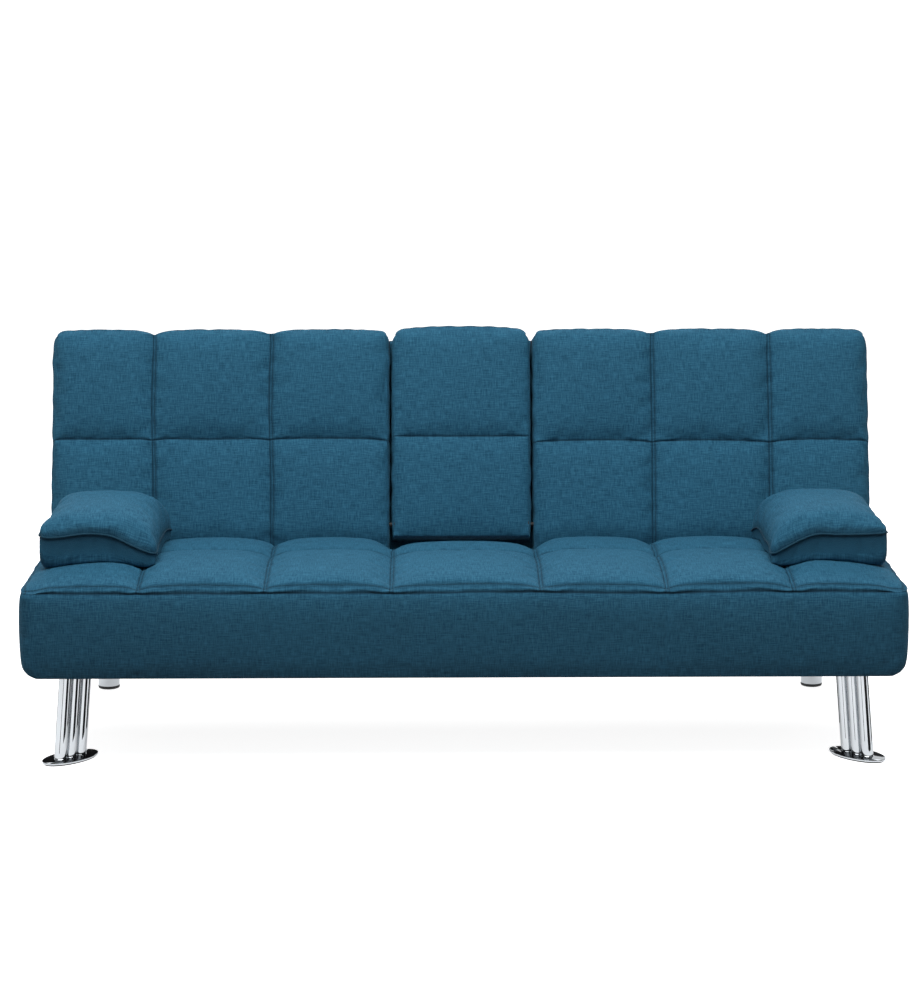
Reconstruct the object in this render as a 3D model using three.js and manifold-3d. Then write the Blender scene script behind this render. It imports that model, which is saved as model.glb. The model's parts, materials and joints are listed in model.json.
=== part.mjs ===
// Three-seat futon sofa bed: a tufted seat box on chrome legs, a tufted back that reclines on
// click-clack hinges until it lies level with the seat, a console in the middle of the back that
// folds forward and shows two cup holders, and two loose armrest pillows.
// Millimetres, +X along the sofa to the sitter's left, +Y to the rear, +Z up, floor at z = 0.

import * as THREE from "three";
import { mergeVertices } from "three/addons/utils/BufferGeometryUtils.js";
import Module from "manifold-3d";

// ---------------------------------------------------------------- driving dimensions

const length = 1670; // overall width of the sofa
const coverThickness = 5; // fabric with its batting
const gap = 0.4; // between soft parts that lie against each other
const seat = {
  depth: 470,
  bottom: 175, // underside of the seat box
  edge: 338, // seam round the top of the box
  frontCrown: 376,
  frontCrownShare: 0.404, // of the depth, from the front face
  rowSeam: 366,
  rowSeamShare: 0.532,
  rearCrown: 362,
  rearCrownShare: 0.713,
  rearEdge: 318,
  shoulder: 45, // width of the rounded shoulder at the two ends
  cornerRadius: 14,
};
const wood = { thickness: 22, seatHeight: 80, backWidth: 60, footGap: 8 };
const spring = { count: 5, wire: 4, amplitude: 24, pitch: 48, drop: 6, endGap: 3 };
const dustCover = { thickness: 1.5, lift: 0.6 };
const rail = { width: 30, height: 25, wall: 1.5, start: 34, pastHinge: 131.5, fromEnd: 98 };
const frontLeg = {
  tube: 24,
  wall: 1.5,
  weld: 0.6, // how far the three tubes run into each other
  setback: 80, // top of the leg behind the seat's front face
  splay: 20, // how far the foot stands out along the row of tubes
  footLength: 124,
  footWidth: 68,
  footThickness: 4.2,
  padThickness: 2.5,
  padInset: 4,
  plateLength: 104,
  plateWidth: 56,
  plateThickness: 3,
};
const rearLeg = {
  tube: 45,
  wall: 1.5,
  pastHinge: 81.5,
  plate: 72,
  plateThickness: 3,
  glide: 6,
  plug: 20,
};
const stopPad = { width: 24, depth: 40, pastHinge: 86.5, room: 1 };
const back = {
  lean: 17, // degrees behind upright
  recline: 73, // degrees from there to flat
  bedLevel: 360, // height of the back's face when it lies flat
  front: 60, // hinge axis to the front face
  rear: 55, // hinge axis to the rear face
  endRadius: 46, // rounded bottom end about the hinge axis
  endGap: 2.5, // bottom end to the seat
  top: 455, // hinge axis to the top edge
  faceStart: 30, // where the flat of the front face begins
  cornerRadius: 30,
  sheet: 3, // rear cloth with its lining
  board: 4,
};
const arm = {
  thickness: 4,
  gap: 0.3,
  eye: 24,
  foot: 18,
  hole: 5.1,
  endClear: 6.5, // to the cover at the end of the sofa
  strapFrom: 60,
  strapTo: 190,
};
const pawl = { pin: 3, eye: 7, gap: 0.6, hole: 3.1, angle: -60, reach: 25 };
const pivot = { radius: 5, head: 9, headThickness: 4, tail: 3 };
const ratchet = { stops: [0, 25, 50, 73], notch: 3 };
// the console in the middle of the back
const middle = {
  width: 285,
  sideGap: 3.5, // to each cushion beside it
  front: 60,
  rear: 19.7,
  hingeDepth: 18, // front face to the hinge axis
  hingeHeight: 58, // hinge above the back's own hinge axis
  bottom: 30,
  toeRadius: 15, // rounded front bottom edge
  heelDepth: 7, // sloped rear bottom edge
  heelHeight: 16,
  top: 457,
  panel: 8,
  foam: 20,
  frameWall: 18,
};
const cup = { radius: 38, wall: 2, depth: 50, rim: 46, rimThickness: 2, spread: 66, at: 320 };
const consoleHinge = { pin: 4, clearance: 0.1, plate: 3, half: 12.4 };
const pillow = {
  width: 244,
  lengthShare: 0.745, // of the seat's depth
  top: 470,
  fromEnd: 142,
  setbackShare: 0.585, // middle of the pillow, as a share of the seat's depth
  lift: 1, // clear of the seat it rests on
};

// ---------------------------------------------------------------- places worked out from them

const half = length / 2;
const inner = coverThickness + gap;
const pivotY = seat.depth + back.endGap + back.endRadius;
const pivotZ = back.bedLevel - back.front;
const frameFloor = seat.bottom + wood.footGap;
const frameTop = frameFloor + wood.seatHeight;
const armOuter = half - coverThickness - arm.endClear; // outer face of the seat arm
const sideRailOuter = armOuter - arm.thickness - arm.gap;
const backArmOuter = sideRailOuter;
const stileOuter = backArmOuter - arm.thickness - arm.gap;
const frontRailFace = coverThickness + 1;
const rearRailFace = seat.depth - coverThickness - 1;
const railX = half - rail.fromEnd;
const railEnd = pivotY + rail.pastHinge;
const rearLegY = pivotY + rearLeg.pastHinge;
const stopPadY = pivotY + stopPad.pastHinge;
const tubePitch = frontLeg.tube - frontLeg.weld;
const pillowLength = seat.depth * pillow.lengthShare;
const pillowY = seat.depth * pillow.setbackShare;
const backFrameRear = back.rear - back.sheet - gap;
const backFrameFront = backFrameRear - wood.thickness;
const boardFront = backFrameFront - gap - back.board;
const backFrameTop = back.top - inner - 3;
const backFrameBottom = -back.endRadius + inner + 1;
const cushionInner = middle.width / 2 + middle.sideGap;
const slotTop = arm.eye + 8; // height of the slit where the hinge enters the back
const hingeSlot = [stileOuter - 4, half - coverThickness - 1];
const consoleHingeY = -(middle.front - middle.hingeDepth);
const BIG = 3000;

// ---------------------------------------------------------------- materials

const paint = (color, roughness, metalness = 0) =>
  new THREE.MeshStandardMaterial({ color, roughness, metalness });
const materials = {
  fabric: paint(0x2b6283, 0.95),
  foam: paint(0xe9dfb8, 0.95),
  timber: paint(0xc9a26b, 0.7),
  cloth: paint(0x1b1c1e, 0.95),
  chrome: paint(0xd8dadd, 0.08, 1),
  steel: paint(0x2a2c2f, 0.45, 0.8),
  plastic: paint(0x151617, 0.5),
  rubber: paint(0x1d1d1d, 0.85),
};

// ---------------------------------------------------------------- solids

const wasm = await Module();
wasm.setup();

function toSolid(geometry) {
  const bare = geometry.clone();
  bare.deleteAttribute("normal");
  bare.deleteAttribute("uv");
  const merged = mergeVertices(bare, 1e-4);
  return new wasm.Manifold(
    new wasm.Mesh({
      numProp: 3,
      vertProperties: merged.attributes.position.array,
      triVerts: new Uint32Array(merged.index.array),
    }),
  );
}

function toGeometry(solid) {
  const mesh = solid.asOriginal().getMesh();
  return new THREE.BufferGeometry()
    .setAttribute("position", new THREE.BufferAttribute(mesh.vertProperties, 3))
    .setIndex(new THREE.BufferAttribute(mesh.triVerts, 1));
}

const combine = (how, first, rest) =>
  toGeometry(rest.reduce((made, next) => made[how](toSolid(next)), toSolid(first)));
const join = (first, ...rest) => combine("add", first, rest);
const cut = (first, ...rest) => combine("subtract", first, rest);
const common = (first, ...rest) => combine("intersect", first, rest);

// A plate whose outline is drawn in (y, z), from x0 to x1.
function plateX(shape, x0, x1) {
  const axes = new THREE.Matrix4().set(0, 0, 1, x0, 1, 0, 0, 0, 0, 1, 0, 0, 0, 0, 0, 1);
  return extrude(shape, x1 - x0).applyMatrix4(axes);
}

// A plate whose outline is drawn in (x, z), from y0 to y1.
function plateY(shape, y0, y1) {
  const axes = new THREE.Matrix4().set(1, 0, 0, 0, 0, 0, -1, y1, 0, 1, 0, 0, 0, 0, 0, 1);
  return extrude(shape, y1 - y0).applyMatrix4(axes);
}

// A plate whose outline is drawn in (x, y), from z0 to z1.
const plateZ = (shape, z0, z1) => extrude(shape, z1 - z0).translate(0, 0, z0);

const extrude = (shape, depth, curveSegments = 6) =>
  new THREE.ExtrudeGeometry(shape, { depth, bevelEnabled: false, curveSegments });

const block = (x0, x1, y0, y1, z0, z1) =>
  new THREE.BoxGeometry(x1 - x0, y1 - y0, z1 - z0).translate(
    (x0 + x1) / 2,
    (y0 + y1) / 2,
    (z0 + z1) / 2,
  );

// A block on the side named by sign, 1 for +x and -1 for -x, with x given as distances from the middle.
const sideBlock = (sign, x0, x1, ...rest) =>
  sign > 0 ? block(x0, x1, ...rest) : block(-x1, -x0, ...rest);
const sidePlate = (sign, shape, x0, x1) =>
  sign > 0 ? plateX(shape, x0, x1) : plateX(shape, -x1, -x0);

// A cylinder along x between two distances from the middle, on the side named by sign.
function pinX(sign, radius, x0, x1, y, z, segments = 16) {
  return new THREE.CylinderGeometry(radius, radius, x1 - x0, segments)
    .rotateZ(Math.PI / 2)
    .translate((sign * (x0 + x1)) / 2, y, z);
}

function rectangle(x0, y0, x1, y1) {
  return new THREE.Shape().moveTo(x0, y0).lineTo(x1, y0).lineTo(x1, y1).lineTo(x0, y1);
}

// A rectangle with a radius at each corner: low left, low right, high right, high left.
function rounded(x0, y0, x1, y1, [r0, r1, r2, r3]) {
  return new THREE.Shape()
    .moveTo(x0 + r0, y0)
    .lineTo(x1 - r1, y0)
    .absarc(x1 - r1, y0 + r1, r1, -Math.PI / 2, 0)
    .absarc(x1 - r2, y1 - r2, r2, 0, Math.PI / 2)
    .absarc(x0 + r3, y1 - r3, r3, Math.PI / 2, Math.PI)
    .absarc(x0 + r0, y0 + r0, r0, Math.PI, 1.5 * Math.PI);
}

// A bar of even width with round ends, from a to b.
function bar(a, b, radius) {
  const way = Math.atan2(b[1] - a[1], b[0] - a[0]);
  const quarter = Math.PI / 2;
  return new THREE.Shape()
    .absarc(a[0], a[1], radius, way + quarter, way + 3 * quarter)
    .absarc(b[0], b[1], radius, way - quarter, way + quarter);
}

function ellipse(long, wide) {
  return new THREE.Shape().absellipse(0, 0, long / 2, wide / 2, 0, 2 * Math.PI, false, 0);
}

const sofa = new THREE.Group();
const backGroup = new THREE.Group();
backGroup.position.set(0, pivotY, pivotZ);
backGroup.rotation.x = -THREE.MathUtils.degToRad(back.lean);
sofa.add(backGroup);

function piece(group, name, geometry, material) {
  const mesh = new THREE.Mesh(geometry, material);
  mesh.name = name;
  group.add(mesh);
  return mesh;
}

const SIDES = [
  [-1, "right"], // the sitter's right hand
  [1, "left"],
];

// ---------------------------------------------------------------- seat box

// Side outline of the seat pad in (y, z), taken in by inset; the cavity runs out at the bottom.
function seatSide(inset, floor) {
  const low = floor ?? seat.bottom - inset - 20;
  const top = [
    [seat.depth * seat.rearCrownShare, seat.rearCrown - inset],
    [seat.depth * seat.rowSeamShare, seat.rowSeam - inset],
    [seat.depth * seat.frontCrownShare, seat.frontCrown - inset],
    [inset, seat.edge - inset / 2],
  ];
  return new THREE.Shape()
    .moveTo(inset, low)
    .lineTo(seat.depth - inset, low)
    .lineTo(seat.depth - inset, seat.rearEdge - inset)
    .splineThru(top.map(([y, z]) => new THREE.Vector2(y, z)));
}

// Front outline of the seat box in (x, z): round low corners and sloping shoulders.
function seatFront(inset, floor) {
  const low = floor ?? seat.bottom - inset - 20;
  const side = half - inset;
  const top = seat.frontCrown + 1 - inset;
  const r = floor === undefined ? 0 : seat.cornerRadius - inset;
  const drop = top - seat.edge + 18;
  return new THREE.Shape()
    .moveTo(-side + r, low)
    .lineTo(side - r, low)
    .quadraticCurveTo(side, low, side, low + r)
    .lineTo(side, top - drop)
    .quadraticCurveTo(side, top, side - seat.shoulder, top)
    .lineTo(-side + seat.shoulder, top)
    .quadraticCurveTo(-side, top, -side, top - drop)
    .lineTo(-side, low + r)
    .quadraticCurveTo(-side, low, -side + r, low);
}

function seatPad(inset, floor) {
  return common(
    plateX(seatSide(inset, floor), -half + inset, half - inset),
    plateY(seatFront(inset, floor), inset, seat.depth - inset),
  );
}

function buildSeatCover() {
  const railSlots = SIDES.map(([sign]) =>
    sideBlock(
      sign,
      railX - rail.width / 2 - 1,
      railX + rail.width / 2 + 1,
      seat.depth - 2 * coverThickness,
      seat.depth + 1,
      seat.bottom - 1,
      frameFloor + rail.height + 1,
    ),
  );
  const armSlots = SIDES.map(([sign]) =>
    sideBlock(
      sign,
      armOuter - arm.thickness - 1,
      armOuter + 1,
      seat.depth - 2 * coverThickness,
      seat.depth + 1,
      armKnee[1] - arm.foot - 4,
      armKnee[1] + arm.foot + 4,
    ),
  );
  const shell = cut(seatPad(0, seat.bottom), seatPad(coverThickness), ...railSlots, ...armSlots);
  piece(sofa, "seat_cover", shell, materials.fabric);
}

function buildSeatFoam() {
  const above = block(-BIG, BIG, -BIG, BIG, frameTop + gap, BIG);
  piece(sofa, "seat_foam", common(seatPad(inner, seat.bottom), above), materials.foam);
}

function buildSeatFrame() {
  const t = wood.thickness;
  const inside = sideRailOuter - t;
  for (const [sign, name] of SIDES) {
    const side = sideBlock(sign, inside, sideRailOuter, frontRailFace, rearRailFace, frameFloor, frameTop);
    piece(sofa, `seat_${name}_rail`, side, materials.timber);
  }
  const end = inside - gap;
  const front = block(-end, end, frontRailFace, frontRailFace + t, frameFloor, frameTop);
  piece(sofa, "seat_front_rail", front, materials.timber);
  const notches = SIDES.map(([sign]) =>
    sideBlock(
      sign,
      railX - rail.width / 2 - gap,
      railX + rail.width / 2 + gap,
      0,
      seat.depth,
      0,
      frameFloor + rail.height + gap,
    ),
  );
  const rear = block(-end, end, rearRailFace - t, rearRailFace, frameFloor, frameTop);
  piece(sofa, "seat_rear_rail", cut(rear, ...notches), materials.timber);
  const crossAt = length / 4;
  const y0 = frontRailFace + t + gap;
  const y1 = rearRailFace - t - gap;
  const crossTop = frameTop - spring.drop - spring.wire;
  for (const [sign, name] of SIDES) {
    const cross = sideBlock(sign, crossAt - t / 2, crossAt + t / 2, y0, y1, frameFloor, crossTop);
    piece(sofa, `seat_${name}_cross_rail`, cross, materials.timber);
  }
}

// Sinuous springs run front to rear between the rails, just under the foam.
function buildSeatSprings() {
  const y0 = frontRailFace + wood.thickness + spring.endGap;
  const y1 = rearRailFace - wood.thickness - spring.endGap;
  const waves = Math.round((y1 - y0) / spring.pitch);
  const z = frameTop - spring.drop;
  const section = polygon(spring.wire / 2, 4);
  const spacing = (2 * (sideRailOuter - wood.thickness)) / spring.count;
  for (let i = 0; i < spring.count; i++) {
    const x = (i - (spring.count - 1) / 2) * spacing;
    const points = [];
    for (let k = 0; k <= waves * 4; k++) {
      const sway = spring.amplitude * Math.sin((k * Math.PI) / 4);
      points.push(new THREE.Vector3(x + sway, y0 + ((y1 - y0) * k) / (waves * 4), z));
    }
    const path = new THREE.CatmullRomCurve3(points);
    const wire = new THREE.ExtrudeGeometry(section, { extrudePath: path, steps: waves * 4 });
    piece(sofa, `seat_spring_${i + 1}`, wire, materials.steel);
  }
}

function polygon(radius, sides) {
  const shape = new THREE.Shape();
  for (let i = 0; i < sides; i++) {
    const a = (2 * Math.PI * i) / sides;
    const move = i ? "lineTo" : "moveTo";
    shape[move](radius * Math.cos(a), radius * Math.sin(a));
  }
  return shape;
}

// Black cloth stapled under the box, open where the front legs pass.
function buildDustCover() {
  const z = seat.bottom + dustCover.lift;
  const side = half - coverThickness - 1;
  const r = frontLeg.tube / 2 + 4;
  const sheet = plateZ(
    rectangle(-side, coverThickness + 1, side, seat.depth - coverThickness - 1),
    z,
    z + dustCover.thickness,
  );
  const holes = SIDES.map(([sign]) =>
    legPlace(sign, plateZ(bar([-tubePitch, 0], [tubePitch, 0], r), z - 9, z + 9)),
  );
  piece(sofa, "seat_dust_cover", cut(sheet, ...holes), materials.cloth);
}

// ---------------------------------------------------------------- steel base and legs

// Turns a solid drawn with its row of tubes along x so that the row points to the outer front corner.
function legPlace(sign, geometry) {
  return geometry
    .rotateZ(sign > 0 ? -Math.PI / 4 : (-3 * Math.PI) / 4)
    .translate(sign * railX, frontLeg.setback, 0);
}

function buildFrontLeg(sign, name) {
  const top = frameFloor - gap;
  const footFloor = frontLeg.padThickness + gap;
  const footTop = footFloor + frontLeg.footThickness;
  const plate = top - frontLeg.plateThickness;
  const lean = frontLeg.splay / (top - footTop);
  // Shears a solid so that it meets the top plate in place and the foot out along +x.
  const slant = new THREE.Matrix4().set(1, 0, -lean, lean * top, 0, 1, 0, 0, 0, 0, 1, 0, 0, 0, 0, 1);
  const r = frontLeg.tube / 2;
  const rows = [-1, 0, 1].map((i) => i * tubePitch);
  const column = (x, radius, z0, z1) =>
    new THREE.CylinderGeometry(radius, radius, z1 - z0, 16)
      .rotateX(Math.PI / 2)
      .translate(x, 0, (z0 + z1) / 2)
      .applyMatrix4(slant);
  const foot = plateZ(ellipse(frontLeg.footLength, frontLeg.footWidth), footFloor, footTop);
  foot.translate(frontLeg.splay, 0, 0);
  const w = frontLeg.plateWidth / 2;
  const l = frontLeg.plateLength / 2;
  const solids = [
    plateZ(rectangle(-l, -w, l, w), plate, top),
    foot,
    ...rows.map((x) => column(x, r, footTop - 1, plate + 1)),
  ];
  const bores = rows.map((x) => column(x, r - frontLeg.wall, footTop, top + 1));
  piece(sofa, `front_${name}_leg`, legPlace(sign, cut(join(...solids), ...bores)), materials.chrome);
  const pad = ellipse(
    frontLeg.footLength - 2 * frontLeg.padInset,
    frontLeg.footWidth - 2 * frontLeg.padInset,
  );
  const padSolid = plateZ(pad, 0, frontLeg.padThickness).translate(frontLeg.splay, 0, 0);
  piece(sofa, `front_${name}_foot_pad`, legPlace(sign, padSolid), materials.rubber);
}

function buildRearLeg(sign, name) {
  const top = frameFloor - gap;
  const plate = top - rearLeg.plateThickness;
  const tube = (radius, z0, z1) =>
    new THREE.CylinderGeometry(radius, radius, z1 - z0, 24)
      .rotateX(Math.PI / 2)
      .translate(sign * railX, rearLegY, (z0 + z1) / 2);
  const r = rearLeg.tube / 2;
  const h = rearLeg.plate / 2;
  const floor = rearLeg.glide + gap;
  const flange = block(
    sign * railX - h,
    sign * railX + h,
    rearLegY - h,
    rearLegY + h,
    plate,
    top,
  );
  const leg = cut(join(tube(r, floor, plate + 1), flange), tube(r - rearLeg.wall, floor - 1, plate));
  piece(sofa, `rear_${name}_leg`, leg, materials.chrome);
  const plug = tube(r - rearLeg.wall - gap, rearLeg.glide - 1, rearLeg.glide + rearLeg.plug);
  const glide = join(tube(r, 0, rearLeg.glide), plug);
  piece(sofa, `rear_${name}_glide`, glide, materials.plastic);
}

function buildBaseRails() {
  const z0 = frameFloor;
  const z1 = frameFloor + rail.height;
  const w = rail.wall;
  for (const [sign, name] of SIDES) {
    const x0 = railX - rail.width / 2;
    const x1 = railX + rail.width / 2;
    const tube = cut(
      sideBlock(sign, x0, x1, rail.start, railEnd, z0, z1),
      sideBlock(sign, x0 + w, x1 - w, rail.start - 1, railEnd + 1, z0 + w, z1 - w),
    );
    piece(sofa, `base_${name}_rail`, tube, materials.steel);
    const padTop = pivotZ - back.rear - stopPad.room;
    const pad = sideBlock(
      sign,
      railX - stopPad.width / 2,
      railX + stopPad.width / 2,
      stopPadY - stopPad.depth / 2,
      stopPadY + stopPad.depth / 2,
      z1 + gap,
      padTop,
    );
    piece(sofa, `stop_${name}_pad`, pad, materials.rubber);
  }
  const end = railX - rail.width / 2 - gap;
  const y1 = railEnd - 5;
  const y0 = y1 - rail.height;
  const crossbar = cut(
    block(-end, end, y0, y1, z0, z1),
    block(-end - 1, end + 1, y0 + w, y1 - w, z0 + w, z1 - w),
  );
  piece(sofa, "base_crossbar", crossbar, materials.steel);
}

// ---------------------------------------------------------------- click-clack hinges

const armKnee = [pivotY - 13, frameFloor + 48];
const armFoot = [pivotY - 130, frameFloor + 42];
const onCircle = (degrees, radius) => {
  const a = THREE.MathUtils.degToRad(degrees);
  return [pivotY - radius * Math.cos(a), pivotZ + radius * Math.sin(a)];
};
const pawlNose = onCircle(pawl.angle, arm.eye + pawl.gap + 2.2);
const pawlPin = [pawlNose[0] - 11, pawlNose[1] - pawl.reach];

function buildSeatArm(sign, name) {
  const x0 = armOuter - arm.thickness;
  const r = arm.foot;
  const raised = sidePlate(sign, bar([pivotY, pivotZ], armKnee, r), x0, armOuter);
  const foot = sidePlate(sign, bar(armKnee, armFoot, r), x0, armOuter);
  const lug = sidePlate(sign, bar(armKnee, pawlPin, pawl.eye + 2), x0, armOuter);
  const pin = pinX(sign, pawl.pin, backArmOuter - arm.thickness, x0 + 1, ...pawlPin);
  const hole = pinX(sign, arm.hole, x0 - 1, armOuter + 1, pivotY, pivotZ);
  const seatArm = cut(join(raised, foot, lug, pin), hole);
  piece(sofa, `hinge_${name}_seat_arm`, seatArm, materials.steel);
}

function buildPawl(sign, name) {
  const x0 = backArmOuter - arm.thickness;
  const lever = sidePlate(sign, bar(pawlPin, pawlNose, 2.2), x0, backArmOuter);
  const eye = pinX(sign, pawl.eye, x0, backArmOuter, ...pawlPin);
  const hole = pinX(sign, pawl.hole, x0 - 1, backArmOuter + 1, ...pawlPin);
  piece(sofa, `hinge_${name}_pawl`, cut(join(lever, eye), hole), materials.steel);
}

// A leaf spring on the seat arm that keeps the pawl against the toothed eye.
function buildPawlSpring(sign, name) {
  const start = [pawlPin[0] - 17, pawlPin[1] - 16];
  const end = [pawlPin[0] - pawl.eye - 2, pawlPin[1] + 7];
  const x0 = backArmOuter - arm.thickness;
  const leaf = sidePlate(sign, bar(start, end, 0.7), x0, backArmOuter);
  const foot = pinX(sign, 4, x0, backArmOuter, ...start);
  piece(sofa, `hinge_${name}_pawl_spring`, join(leaf, foot), materials.steel);
}

// Rivet that joins the two arms; its tail is clenched on the inside.
function buildPivot(sign, name) {
  const inside = backArmOuter - arm.thickness - arm.gap - pivot.tail;
  const head = armOuter + arm.gap;
  const rivet = join(
    pinX(sign, pivot.radius, inside, head + 1, pivotY, pivotZ),
    pinX(sign, pivot.head, head, head + pivot.headThickness, pivotY, pivotZ),
    pinX(sign, pivot.radius + 3, inside, inside + pivot.tail, pivotY, pivotZ),
  );
  piece(sofa, `hinge_${name}_rivet`, rivet, materials.chrome);
}

// The back arm and its toothed eye, in the back's own frame: origin on the hinge axis.
function buildBackArm(sign, name) {
  const x0 = backArmOuter - arm.thickness;
  const mid = (backFrameFront + backFrameRear) / 2;
  const eye = pinX(sign, arm.eye, x0, backArmOuter, 0, 0, 28);
  const reach = sidePlate(sign, bar([0, 0], [mid - 4, arm.strapFrom + 10], 11), x0, backArmOuter);
  const strap = sidePlate(sign, bar([mid, arm.strapFrom], [mid, arm.strapTo], 10), x0, backArmOuter);
  const hole = pinX(sign, arm.hole, x0 - 1, backArmOuter + 1, 0, 0);
  const notches = ratchet.stops.map((stop) => {
    const a = THREE.MathUtils.degToRad(pawl.angle - back.lean - stop);
    const [y, z] = [-arm.eye * Math.cos(a), arm.eye * Math.sin(a)];
    return pinX(sign, ratchet.notch, x0 - 1, backArmOuter + 1, y, z, 8);
  });
  const backArm = cut(join(eye, reach, strap), hole, ...notches);
  piece(backGroup, `hinge_${name}_back_arm`, backArm, materials.steel);
}

// ---------------------------------------------------------------- back

// Side outline of a back cushion in (y, z) of the back's frame: y runs to the rear.
function backSide(inset, open) {
  const front = -back.front + inset;
  const rear = open ? back.rear + 20 : backFrameRear + gap - 0.1;
  const bottom = -back.endRadius + inset;
  const top = back.top - inset;
  const r = back.cornerRadius - inset;
  const start = back.faceStart;
  return new THREE.Shape()
    .moveTo(rear, bottom)
    .lineTo(rear, top)
    .lineTo(front + r, top)
    .absarc(front + r, top - r, r, Math.PI / 2, Math.PI)
    .lineTo(front, start)
    .quadraticCurveTo(front + 4, 12, -back.endRadius + inset, 0)
    .absarc(0, 0, back.endRadius - inset, Math.PI, 1.5 * Math.PI);
}

// Outline of one back cushion in (x, z), as distances from the middle.
function cushionFront(sign, inset) {
  const [x0, x1] = [cushionInner + inset, half - inset];
  const low = -back.endRadius + inset;
  const high = back.top - inset;
  const r = back.cornerRadius - inset;
  const radii = sign > 0 ? [8, 8, r, r] : [8, 8, r, r];
  const [a, b] = sign > 0 ? [x0, x1] : [-x1, -x0];
  return rounded(a, low, b, high, radii);
}

function cushion(sign, inset, open) {
  const side = plateX(backSide(inset, open), -half, half);
  return common(side, plateY(cushionFront(sign, inset), -back.front - 1, back.rear + 30));
}

// Slit in the bottom of the back where the seat arm and the pawl enter it.
const hingeSlit = (sign, top = slotTop) =>
  sideBlock(sign, hingeSlot[0], hingeSlot[1], -BIG, BIG, -BIG, top);

function buildBackCushion(sign, name) {
  const wall = coverThickness;
  const passage = join(
    plateY(cushionFront(sign, wall), boardFront - gap, BIG),
    sideBlock(sign, 0, length / 4, boardFront - gap, BIG, -back.endRadius + wall, back.top - wall),
  );
  const pinHole = pinX(
    sign,
    consoleHinge.pin + 2,
    cushionInner - 1,
    cushionInner + wall + 1,
    consoleHingeY,
    middle.hingeHeight,
  );
  const cover = cut(
    cushion(sign, 0, false),
    cushion(sign, wall, true),
    passage,
    hingeSlit(sign),
    pinHole,
  );
  piece(backGroup, `back_${name}_cover`, cover, materials.fabric);

  const inFront = block(-BIG, BIG, -BIG, boardFront - gap, -BIG, BIG);
  const pocket = sideBlock(
    sign,
    0,
    cushionInner + inner + consoleHinge.plate + 2,
    consoleHingeY - consoleHinge.half - 1,
    BIG,
    middle.hingeHeight - consoleHinge.half - 1,
    middle.hingeHeight + consoleHinge.half + 1,
  );
  const armRoom = hingeSlit(sign, arm.strapTo);
  const foam = cut(common(cushion(sign, inner, true), inFront), armRoom, pocket);
  piece(backGroup, `back_${name}_foam`, foam, materials.foam);
}

function buildBackFrame() {
  const [y0, y1] = [backFrameFront, backFrameRear];
  const w = wood.backWidth;
  const t = wood.thickness;
  const inside = stileOuter - t;
  const [low, high] = [backFrameBottom, backFrameTop];
  for (const [sign, name] of SIDES) {
    const stile = sideBlock(sign, inside, stileOuter, y0, y1, low, high);
    piece(backGroup, `back_${name}_stile`, stile, materials.timber);
    const x = cushionInner + wood.backWidth / 2;
    const innerStile = sideBlock(sign, x - t / 2, x + t / 2, y0, y1, low + w + gap, high - w - gap);
    piece(backGroup, `back_${name}_inner_stile`, innerStile, materials.timber);
  }
  const end = inside - gap;
  piece(backGroup, "back_top_rail", block(-end, end, y0, y1, high - w, high), materials.timber);
  piece(backGroup, "back_bottom_rail", block(-end, end, y0, y1, low, low + w), materials.timber);
  const board = block(-stileOuter, stileOuter, boardFront, y0 - gap, low, high);
  piece(backGroup, "back_board", board, materials.timber);
}

// One cloth: the whole rear, over the top behind the console, and down the lining of its recess.
function buildRearCover() {
  const [y0, y1] = [back.rear - back.sheet, back.rear];
  const outline = rounded(-half, -back.endRadius, half, back.top - 6, [8, 8, 24, 24]);
  const width = cushionInner - gap;
  const front = boardFront - gap - 2;
  const flap = block(-width, width, front, y1, backFrameTop + gap, backFrameTop + gap + 2);
  const lining = block(-width, width, front, front + 2, 0, backFrameTop + gap + 1);
  const slits = SIDES.map(([sign]) => hingeSlit(sign));
  const cover = cut(join(plateY(outline, y0, y1), flap, lining), ...slits);
  piece(backGroup, "back_rear_cover", cover, materials.fabric);
}

// ---------------------------------------------------------------- console

// Side outline of the console in (y, z) of the back's frame.
function consoleSide(inset, open) {
  const front = -middle.front + inset;
  const rear = open ? back.rear : middle.rear;
  const low = middle.bottom + inset;
  const high = middle.top - inset;
  const toe = middle.toeRadius - inset;
  const top = back.cornerRadius - inset;
  const heel = open ? 0 : middle.heelHeight;
  return new THREE.Shape()
    .moveTo(rear - (open ? 0 : middle.heelDepth), low)
    .lineTo(rear, low + heel)
    .lineTo(rear, high)
    .lineTo(front + top, high)
    .absarc(front + top, high - top, top, Math.PI / 2, Math.PI)
    .lineTo(front, low + toe)
    .absarc(front + toe, low + toe, toe, Math.PI, 1.5 * Math.PI);
}

function consoleBlock(inset, open) {
  const x = middle.width / 2 - inset;
  const outline = rounded(-x, middle.bottom + inset, x, middle.top - inset, [6, 6, 16, 16]);
  const side = plateX(consoleSide(inset, open), -x, x);
  return common(side, plateY(outline, -middle.front - 1, BIG / 10));
}

const cupPlaces = SIDES.map(([sign, name]) => [sign * cup.spread, cup.at, name]);
const panelFront = middle.rear - middle.panel;
const foamRear = -middle.front + inner + middle.foam;

// A hole or wall of a cup: a cylinder along y.
function cupColumn([x, z], radius, y0, y1) {
  return new THREE.CylinderGeometry(radius, radius, y1 - y0, 24).translate(x, (y0 + y1) / 2, z);
}

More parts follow.
